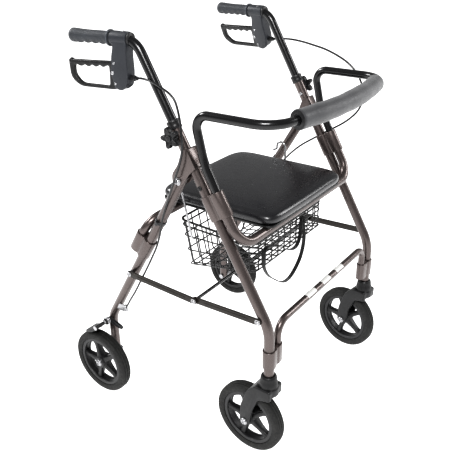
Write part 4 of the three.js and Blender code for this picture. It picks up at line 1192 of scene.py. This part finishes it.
def braces(name, side):
    """Front and rear bar of one side with the three bolts they turn on."""
    front = mirrored(brace_bar(BRACE_FRONT, BRACE_MIDDLE, BRACE_X), side)
    rear = mirrored(brace_bar(BRACE_REAR, BRACE_MIDDLE, BRACE_X + BRACE_THICK + 0.8), side)
    piece(f"front_brace_{name}", front, "brace_metal", "front_braces", [f"brace_front_{name}"])
    piece(f"rear_brace_{name}", rear, "brace_metal", "rear_braces", [f"brace_rear_{name}"])
    out = (side, 0, 0)
    bolts = (
        ("front_frame", "front", BRACE_FRONT, 267.6),
        ("front_braces", "middle", BRACE_MIDDLE, 273.0),
        ("rear_frame", "rear", BRACE_REAR, 273.0),
    )
    for body, place, (y, z), x in bolts:
        at = (side * x, y, z)
        washer = turned([(-0.2, 6.8), (0.7, 6.8), (1.0, 6.2)], at, out, 32)
        head = bolt_head((side * (x + 0.8), y, z), out, 5.4, 3.0)
        piece(f"brace_bolt_{place}_{name}", merged(washer, head), "bright_metal", body)
    spacer = turned([(261.5, 6), (267.8, 6)], (0, *BRACE_REAR), (1, 0, 0), 28)
    piece(f"brace_spacer_{name}", mirrored(spacer, side), "black_plastic", "rear_frame")


for side_name, side_sign in SIDES:
    braces(side_name, side_sign)
rod_end = BRACE_X - 0.3
piece("brace_cross_rod", between((-rod_end, *BRACE_MIDDLE), (rod_end, *BRACE_MIDDLE), 4), "black_tube",
      "front_braces", ["cross_rod"])

# ---- wheels -------------------------------------------------------------------------------

WHEEL_RADIUS = 90
CASTER_TURN = {"left": -0.15, "right": -0.035}
TRAIL = 51


def tyre():
    """Solid tyre about X: a rounded tread with three shallow grooves, over a bed in the rim."""
    flank = np.array([(-13.5, 70.3), (-15, 74), (-15.5, 80), (-14.6, 85), (-12.4, 87.8), (-9.6, 89.0)])
    tread = np.array([
        (-8.2, 89.3), (-7.8, 88.3), (-6.6, 88.3), (-6.2, 89.4), (-1.2, 89.6), (-0.8, 88.4), (0.8, 88.4),
        (1.2, 89.6), (6.2, 89.4), (6.6, 88.3), (7.8, 88.3), (8.2, 89.3),
    ])
    profile = np.vstack([flank, tread, flank[::-1] * (-1, 1)])
    return turned(profile, count=96, loop=True)


def spoke(angle):
    """One spoke: a rounded bar from hub to ring, slimmest at its waist."""
    r = np.array([13, 20, 34, 48, 58, 63.0])
    width = np.array([9.5, 8.0, 6.6, 6.6, 8.2, 11.0])
    depth = np.array([12.0, 11.4, 9.0, 7.4, 8.0, 9.0])
    c = squared(24, 3.6)
    radial = np.array([0, math.cos(angle), math.sin(angle)])
    sideways = np.array([0, -math.sin(angle), math.cos(angle)])
    axle = np.array([1.0, 0, 0])
    rings = (r[:, None, None] * radial + (c[:, :1] * width[:, None, None]) * sideways
             + (c[:, 1:] * depth[:, None, None]) * axle)
    return skin(rings)


def rim():
    """Moulded wheel: stepped hub, five spokes and a channel ring that carries the tyre."""
    ring = turned([(-12, 61.5), (-12, 69.2), (-11.2, 70), (11.2, 70), (12, 69.2), (12, 61.5), (11, 60.6),
                   (7, 60.2), (5.5, 61.4), (-5.5, 61.4), (-7, 60.2), (-11, 60.6)], count=80, loop=True)
    hub = turned([(-16, 6.2), (-16, 14.5), (-15.2, 15.4), (-13.5, 15.8), (-13, 17), (13, 17), (13.5, 15.8),
                  (15.2, 15.4), (16, 14.5), (16, 6.2)], count=48, loop=True)
    return merged(ring, hub, *[spoke(2 * math.pi * k / 5) for k in range(5)])


REAR_WHEEL_X = 301
AXLE_RADIUS = 5


def rear_wheel(name, side):
    """Wheel on a bolt through the foot of the rear leg, a spacer between them."""
    def on_axle(x):
        return side * x, REAR_KNEE[0], WHEEL_RADIUS

    centre = on_axle(REAR_WHEEL_X)
    body = f"rear_wheel_{name}"
    piece(f"rear_rubber_{name}", moved(tyre(), by=centre), "tyre", body, [f"rear_tyre_{name}"])
    piece(f"rear_wheel_disc_{name}", moved(rim(), by=centre), "black_plastic", body, [f"rear_rim_{name}"])
    out = (side, 0, 0)
    head = merged(
        turned([(16.6, 9.4), (17.4, 9.8), (18.2, 9.4)], centre, out, 36),
        bolt_head(on_axle(REAR_WHEEL_X + 18), out, 8.4, 3.8),
    )
    nut = hexagon(on_axle(237.6), (-side, 0, 0), 8.5, 5.4)
    spacer = between(on_axle(262.2), on_axle(REAR_WHEEL_X - 16.3), 8)
    shank = between(on_axle(236), on_axle(REAR_WHEEL_X + 17), AXLE_RADIUS)
    axle_body = frame["nodes"][f"rear_axle_{name}"]["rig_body"]
    piece(f"rear_axle_bolt_{name}", merged(head, nut, spacer, shank), "bright_metal", axle_body,
          [f"rear_axle_{name}"])


FORK_OUTLINE = rounded([
    (-19, 180, 4), (-20, 208, 6), (21, 208, 8), (46, 184, 12), (64, 130, 12), (66, 84, 8), (52, 74, 6),
    (38, 84, 8), (30, 130, 12), (12, 172, 8),
])


def caster(name, side):
    """Fork with two arms under a stepped cap, its wheel on a bolt behind the stem."""
    turn = CASTER_TURN[name]
    stem = (side * LEG_X, 0, 0)
    fork = moved(slab(even(FORK_OUTLINE, 150), -26, 26, 4.0), about_z(turn), stem)
    obj = piece(f"fork_arms_{name}", fork, "black_plastic", f"caster_{name}", [f"caster_fork_{name}"])
    room = np.array([(-90, 40), (150, 40), (150, 186), (-90, 186)], float)
    carve(obj, moved(slab(room, -18.6, 18.6, 0.01), about_z(turn), stem))
    cap = turned([(187, 20), (188, 24), (205, 24), (206.4, 23.4), (208, 21.6), (219, 20.6), (220.6, 19.6),
                  (231, 18.6), (233, 18), (236, 15.4), (236.2, 12)], stem, (0, 0, 1), 48)
    piece(f"stem_cap_{name}", cap, "black_plastic", f"caster_{name}")
    axle = np.array(stem) + about_z(turn) @ np.array([0, TRAIL, WHEEL_RADIUS])
    wheel_body = f"caster_wheel_{name}"
    piece(f"caster_rubber_{name}", moved(tyre(), about_z(turn), axle), "tyre", wheel_body,
          [f"caster_tyre_{name}"])
    piece(f"caster_disc_{name}", moved(rim(), about_z(turn), axle), "black_plastic", wheel_body,
          [f"caster_rim_{name}"])
    bolt = merged(
        between((-27, 0, 0), (27, 0, 0), AXLE_RADIUS),
        turned([(26.1, 8.8), (27, 9), (27.8, 8.6)], (0, 0, 0), (-1, 0, 0), 36),
        bolt_head((-27.6, 0, 0), (-1, 0, 0), 7.6, 3.6),
        turned([(26.1, 8.8), (27, 9), (27.6, 8.6)], (0, 0, 0), (1, 0, 0), 36),
        hexagon((27.4, 0, 0), (1, 0, 0), 7.6, 4.4),
    )
    axle_body = frame["nodes"][f"caster_axle_{name}"]["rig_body"]
    piece(f"caster_bolt_{name}", moved(bolt, about_z(turn), axle), "bright_metal", axle_body,
          [f"caster_axle_{name}"])


SHOE_PIVOT = (491, 203)


def brake_shoe(name, side):
    """Rocker with its pad, its pivot bolt and the return spring."""
    body = f"shoe_{name}"
    refined(f"shoe_rocker_{name}", f"brake_shoe_{name}", "black_plastic", body, 0.9)
    out = (side, 0, 0)
    bolt = merged(
        turned([(-0.2, 6.4), (0.8, 6.4), (1.2, 5.6)], (side * 318.2, *SHOE_PIVOT), out, 30),
        bolt_head((side * 284.2, *SHOE_PIVOT), out, 5.2, 2.8),
    )
    turns = np.linspace(0, 5 * 2 * np.pi, 100)
    around = SHOE_PIVOT + 9 * np.column_stack([np.cos(turns), np.sin(turns)])
    coil = np.column_stack([np.interp(turns, [0, turns[-1]], [270.5, 280.5]), around])
    tail = np.array([[281.5, 505, 190], [282, 511, 176]])
    spring = mirrored(tube(np.vstack([coil, tail]), 1.0, 10, 0.1), side)
    piece(f"shoe_bolt_{name}", bolt, "bright_metal", body)
    piece(f"shoe_spring_{name}", spring, "bright_metal", body)


for side_name, side_sign in SIDES:
    rear_wheel(side_name, side_sign)
    caster(side_name, side_sign)
    brake_shoe(side_name, side_sign)

# ---- seat ---------------------------------------------------------------------------------

SEAT_HALF = 172
SEAT_Y = (45, 374)
BOARD_Z = (546.4, 552.0)
PAD_Z = (552.3, 583.3)
CROWN = 5.2                       # rise of the cushion's middle over its rim


def seat_board():
    """Board under the cushion, 6 mm inside its edge all round."""
    edge = SEAT_HALF - 6
    front, rear = SEAT_Y[0] + 6, SEAT_Y[1] - 6
    corners = [(-edge, front, 24), (edge, front, 24), (edge, rear, 24), (-edge, rear, 24)]
    shape = slab(rounded(corners), *BOARD_Z, 1.2, u=(1, 0, 0), v=(0, 1, 0))
    piece("seat_board", shape, "black_plastic", "seat", ["seat_base"])


def seat_pad():
    """Upholstered pad: a superellipse in plan, flat below, crowned above, with a rolled rim."""
    run = np.linspace(0, 1, 15)
    low = 0.5 * np.pi * run[:7] / run[6]
    high = 0.5 * np.pi * run
    levels = np.concatenate([0.42 * (1 - np.cos(low)), 0.42 + 0.58 * np.sin(high[1:]), [1, 1, 1, 1]])
    inset = np.concatenate([9 * (1 - np.sin(low)), 17 * (1 - np.cos(high[1:])) ** 1.1, [34, 62, 100, 150]])
    crown = np.interp(inset, [0, 10, 34, 70, 150], [0, 0, 2.6, 4.2, CROWN])
    centre_y = (SEAT_Y[0] + SEAT_Y[1]) / 2
    half_y = (SEAT_Y[1] - SEAT_Y[0]) / 2
    c = squared(160, 9)
    angle = np.arctan2(c[:, 1], c[:, 0])
    ripple = 0.5 * np.sin(9 * angle) + 0.35 * np.sin(17 * angle + 1)
    sag = (levels > 0.05) & (inset < 14)
    size_x = SEAT_HALF - inset[:, None] - sag[:, None] * (0.6 + ripple)
    size_y = half_y - inset[:, None] - sag[:, None] * (0.6 + ripple)
    height = PAD_Z[0] + levels * (PAD_Z[1] - PAD_Z[0] - CROWN) + crown
    rings = np.stack([
        size_x * c[:, 0], centre_y + size_y * c[:, 1], np.repeat(height[:, None], len(c), 1),
    ], axis=-1)
    pad = piece("seat_cushion", skin(rings), "vinyl", "seat", ["seat_pad"], crease=75)


seat_board()
seat_pad()

# ---- basket -------------------------------------------------------------------------------

BASKET_HALF = 155.2
BASKET_FRONT_TOP, BASKET_FRONT_LOW = np.array([99.8, 490]), np.array([99.8, 419.8])
BASKET_REAR_LOW, BASKET_REAR_TOP = np.array([296.5, 380]), np.array([320.4, 500])
BASKET_PROFILE = (BASKET_FRONT_TOP, BASKET_FRONT_LOW, BASKET_REAR_LOW, BASKET_REAR_TOP)
WIRE = 1.7
RAIL = 2.8


def basket_ring(share, radius, corner):
    """Closed loop round the four walls, at a share of their height."""
    front = BASKET_FRONT_LOW + (BASKET_FRONT_TOP - BASKET_FRONT_LOW) * share
    rear = BASKET_REAR_LOW + (BASKET_REAR_TOP - BASKET_REAR_LOW) * share
    h = BASKET_HALF
    middle = (0, *front)
    corners = [middle, (h, *front), (h, *rear), (-h, *rear), (-h, *front), middle]
    path = bent(corners, [corner] * 4, 8)[:-1]
    steps = unit(np.roll(path, -1, 0) - path)
    tangent = unit(steps + np.roll(steps, 1, 0))
    upright = np.array([0, 0, 1.0])
    outward = unit(np.cross(tangent, upright))
    above = np.cross(outward, tangent)
    c = circle(12)
    rings = path[:, None] + radius * (outward[:, None] * c[:, :1] + above[:, None] * c[:, 1:])
    return skin(rings, loop=True)


def basket_wires():
    """Welded wire: U wires both ways, rings round the walls and a heavy top rail."""
    wires = []
    for x in np.linspace(-BASKET_HALF + 14, BASKET_HALF - 14, 11):
        corners = [(x, *corner) for corner in BASKET_PROFILE]
        wires.append(tube(bent(corners, [9, 9], 5), WIRE, 10, 0.3))
    for share in np.linspace(0.08, 0.92, 7):
        top = BASKET_FRONT_TOP + (BASKET_REAR_TOP - BASKET_FRONT_TOP) * share
        low = BASKET_FRONT_LOW + (BASKET_REAR_LOW - BASKET_FRONT_LOW) * share
        h = BASKET_HALF
        corners = [(-h, *top), (-h, *low), (h, *low), (h, *top)]
        wires.append(tube(bent(corners, [9, 9], 5), WIRE, 10, 0.3))
    wires += [basket_ring(share, WIRE, 12) for share in (0.02, 0.34, 0.66)]
    wires += [basket_ring(1.0, RAIL, 16), basket_ring(0.88, 2.2, 15)]
    piece("wire_basket", merged(*wires), "basket_wire", "basket_unit", ["basket"])


HOOK_ROUTE = {"left": (224, 228, 616), "right": (262, 287, 588)}


def bag_hook(name, side):
    """Bent rod up the side of the basket with an open hook at its top."""
    foot_y, shank_y, crown_z = HOOK_ROUTE[name]
    x = side * 181
    corners = [(side * 157.3, foot_y, 470), (x, foot_y, 470), (x, shank_y, crown_z),
               (x, shank_y + 25, crown_z), (x, shank_y + 25, crown_z - 20), (x, shank_y + 37, crown_z - 26)]
    path = bent(corners, [10, 12, 12, 5], 8)
    piece(f"side_hook_{name}", tube(path, 2.6, 20), "bright_metal", "basket_unit", [f"bag_hook_{name}"])


basket_wires()
for side_name, side_sign in SIDES:
    bag_hook(side_name, side_sign)

# ---- floor and light ----------------------------------------------------------------------


def area_light(name, place, target, size, power):
    """White soft box, its size and place in metres, turned to the target."""
    data = bpy.data.lights.new(name, "AREA")
    data.shape = "RECTANGLE"
    data.size, data.size_y = size
    data.energy = power
    lamp = linked(name, data)
    direction = Vector(target) - Vector(place)
    turn = direction.to_track_quat("-Z", "Y").to_matrix().to_4x4()
    lamp.matrix_world = Matrix.Translation(place) @ turn


def studio():
    """White floor and even white surroundings, with soft boxes that streak the tubes."""
    floor = Finish("floor_white", Emission_Color=(1, 1, 1, 1), Emission_Strength=0.8)
    floor.colour(floor.tint(floor.noise(2, 2), (0.58, 0.58, 0.58), (0.62, 0.62, 0.62)))
    floor.rough(floor.spread(floor.noise(40, 3), 0, 1, 0.6, 0.75))
    mesh = bpy.data.meshes.new("floor")
    reach = 60.0
    corners = [(-reach, -reach, 0), (reach, -reach, 0), (reach, reach, 0), (-reach, reach, 0)]
    mesh.from_pydata(corners, [], [(0, 1, 2, 3)])
    mesh.materials.append(floor.material)
    linked("floor", mesh)
    world = bpy.data.worlds.new("studio")
    world.use_nodes = True
    background = world.node_tree.nodes["Background"]
    background.inputs["Color"].default_value = (1, 1, 1, 1)
    ray = world.node_tree.nodes.new("ShaderNodeLightPath")
    level = world.node_tree.nodes.new("ShaderNodeMapRange")
    level.inputs["To Min"].default_value = 0.34
    level.inputs["To Max"].default_value = 1.0
    world.node_tree.links.new(ray.outputs["Is Camera Ray"], level.inputs["Value"])
    world.node_tree.links.new(level.outputs["Result"], background.inputs["Strength"])
    bpy.context.scene.world = world
    area_light("key", (-2.4, -1.2, 3.0), (0, 0, 0.5), (1.2, 1.2), 85)
    area_light("fill", (2.4, -2.2, 2.0), (0, 0, 0.5), (0.9, 1.6), 34)
    area_light("back", (-0.6, 2.8, 2.6), (0, 0, 0.6), (1.6, 0.8), 60)
    bpy.context.scene.view_settings.view_transform = "Standard"
    bpy.context.scene.view_settings.look = "High Contrast"


studio()
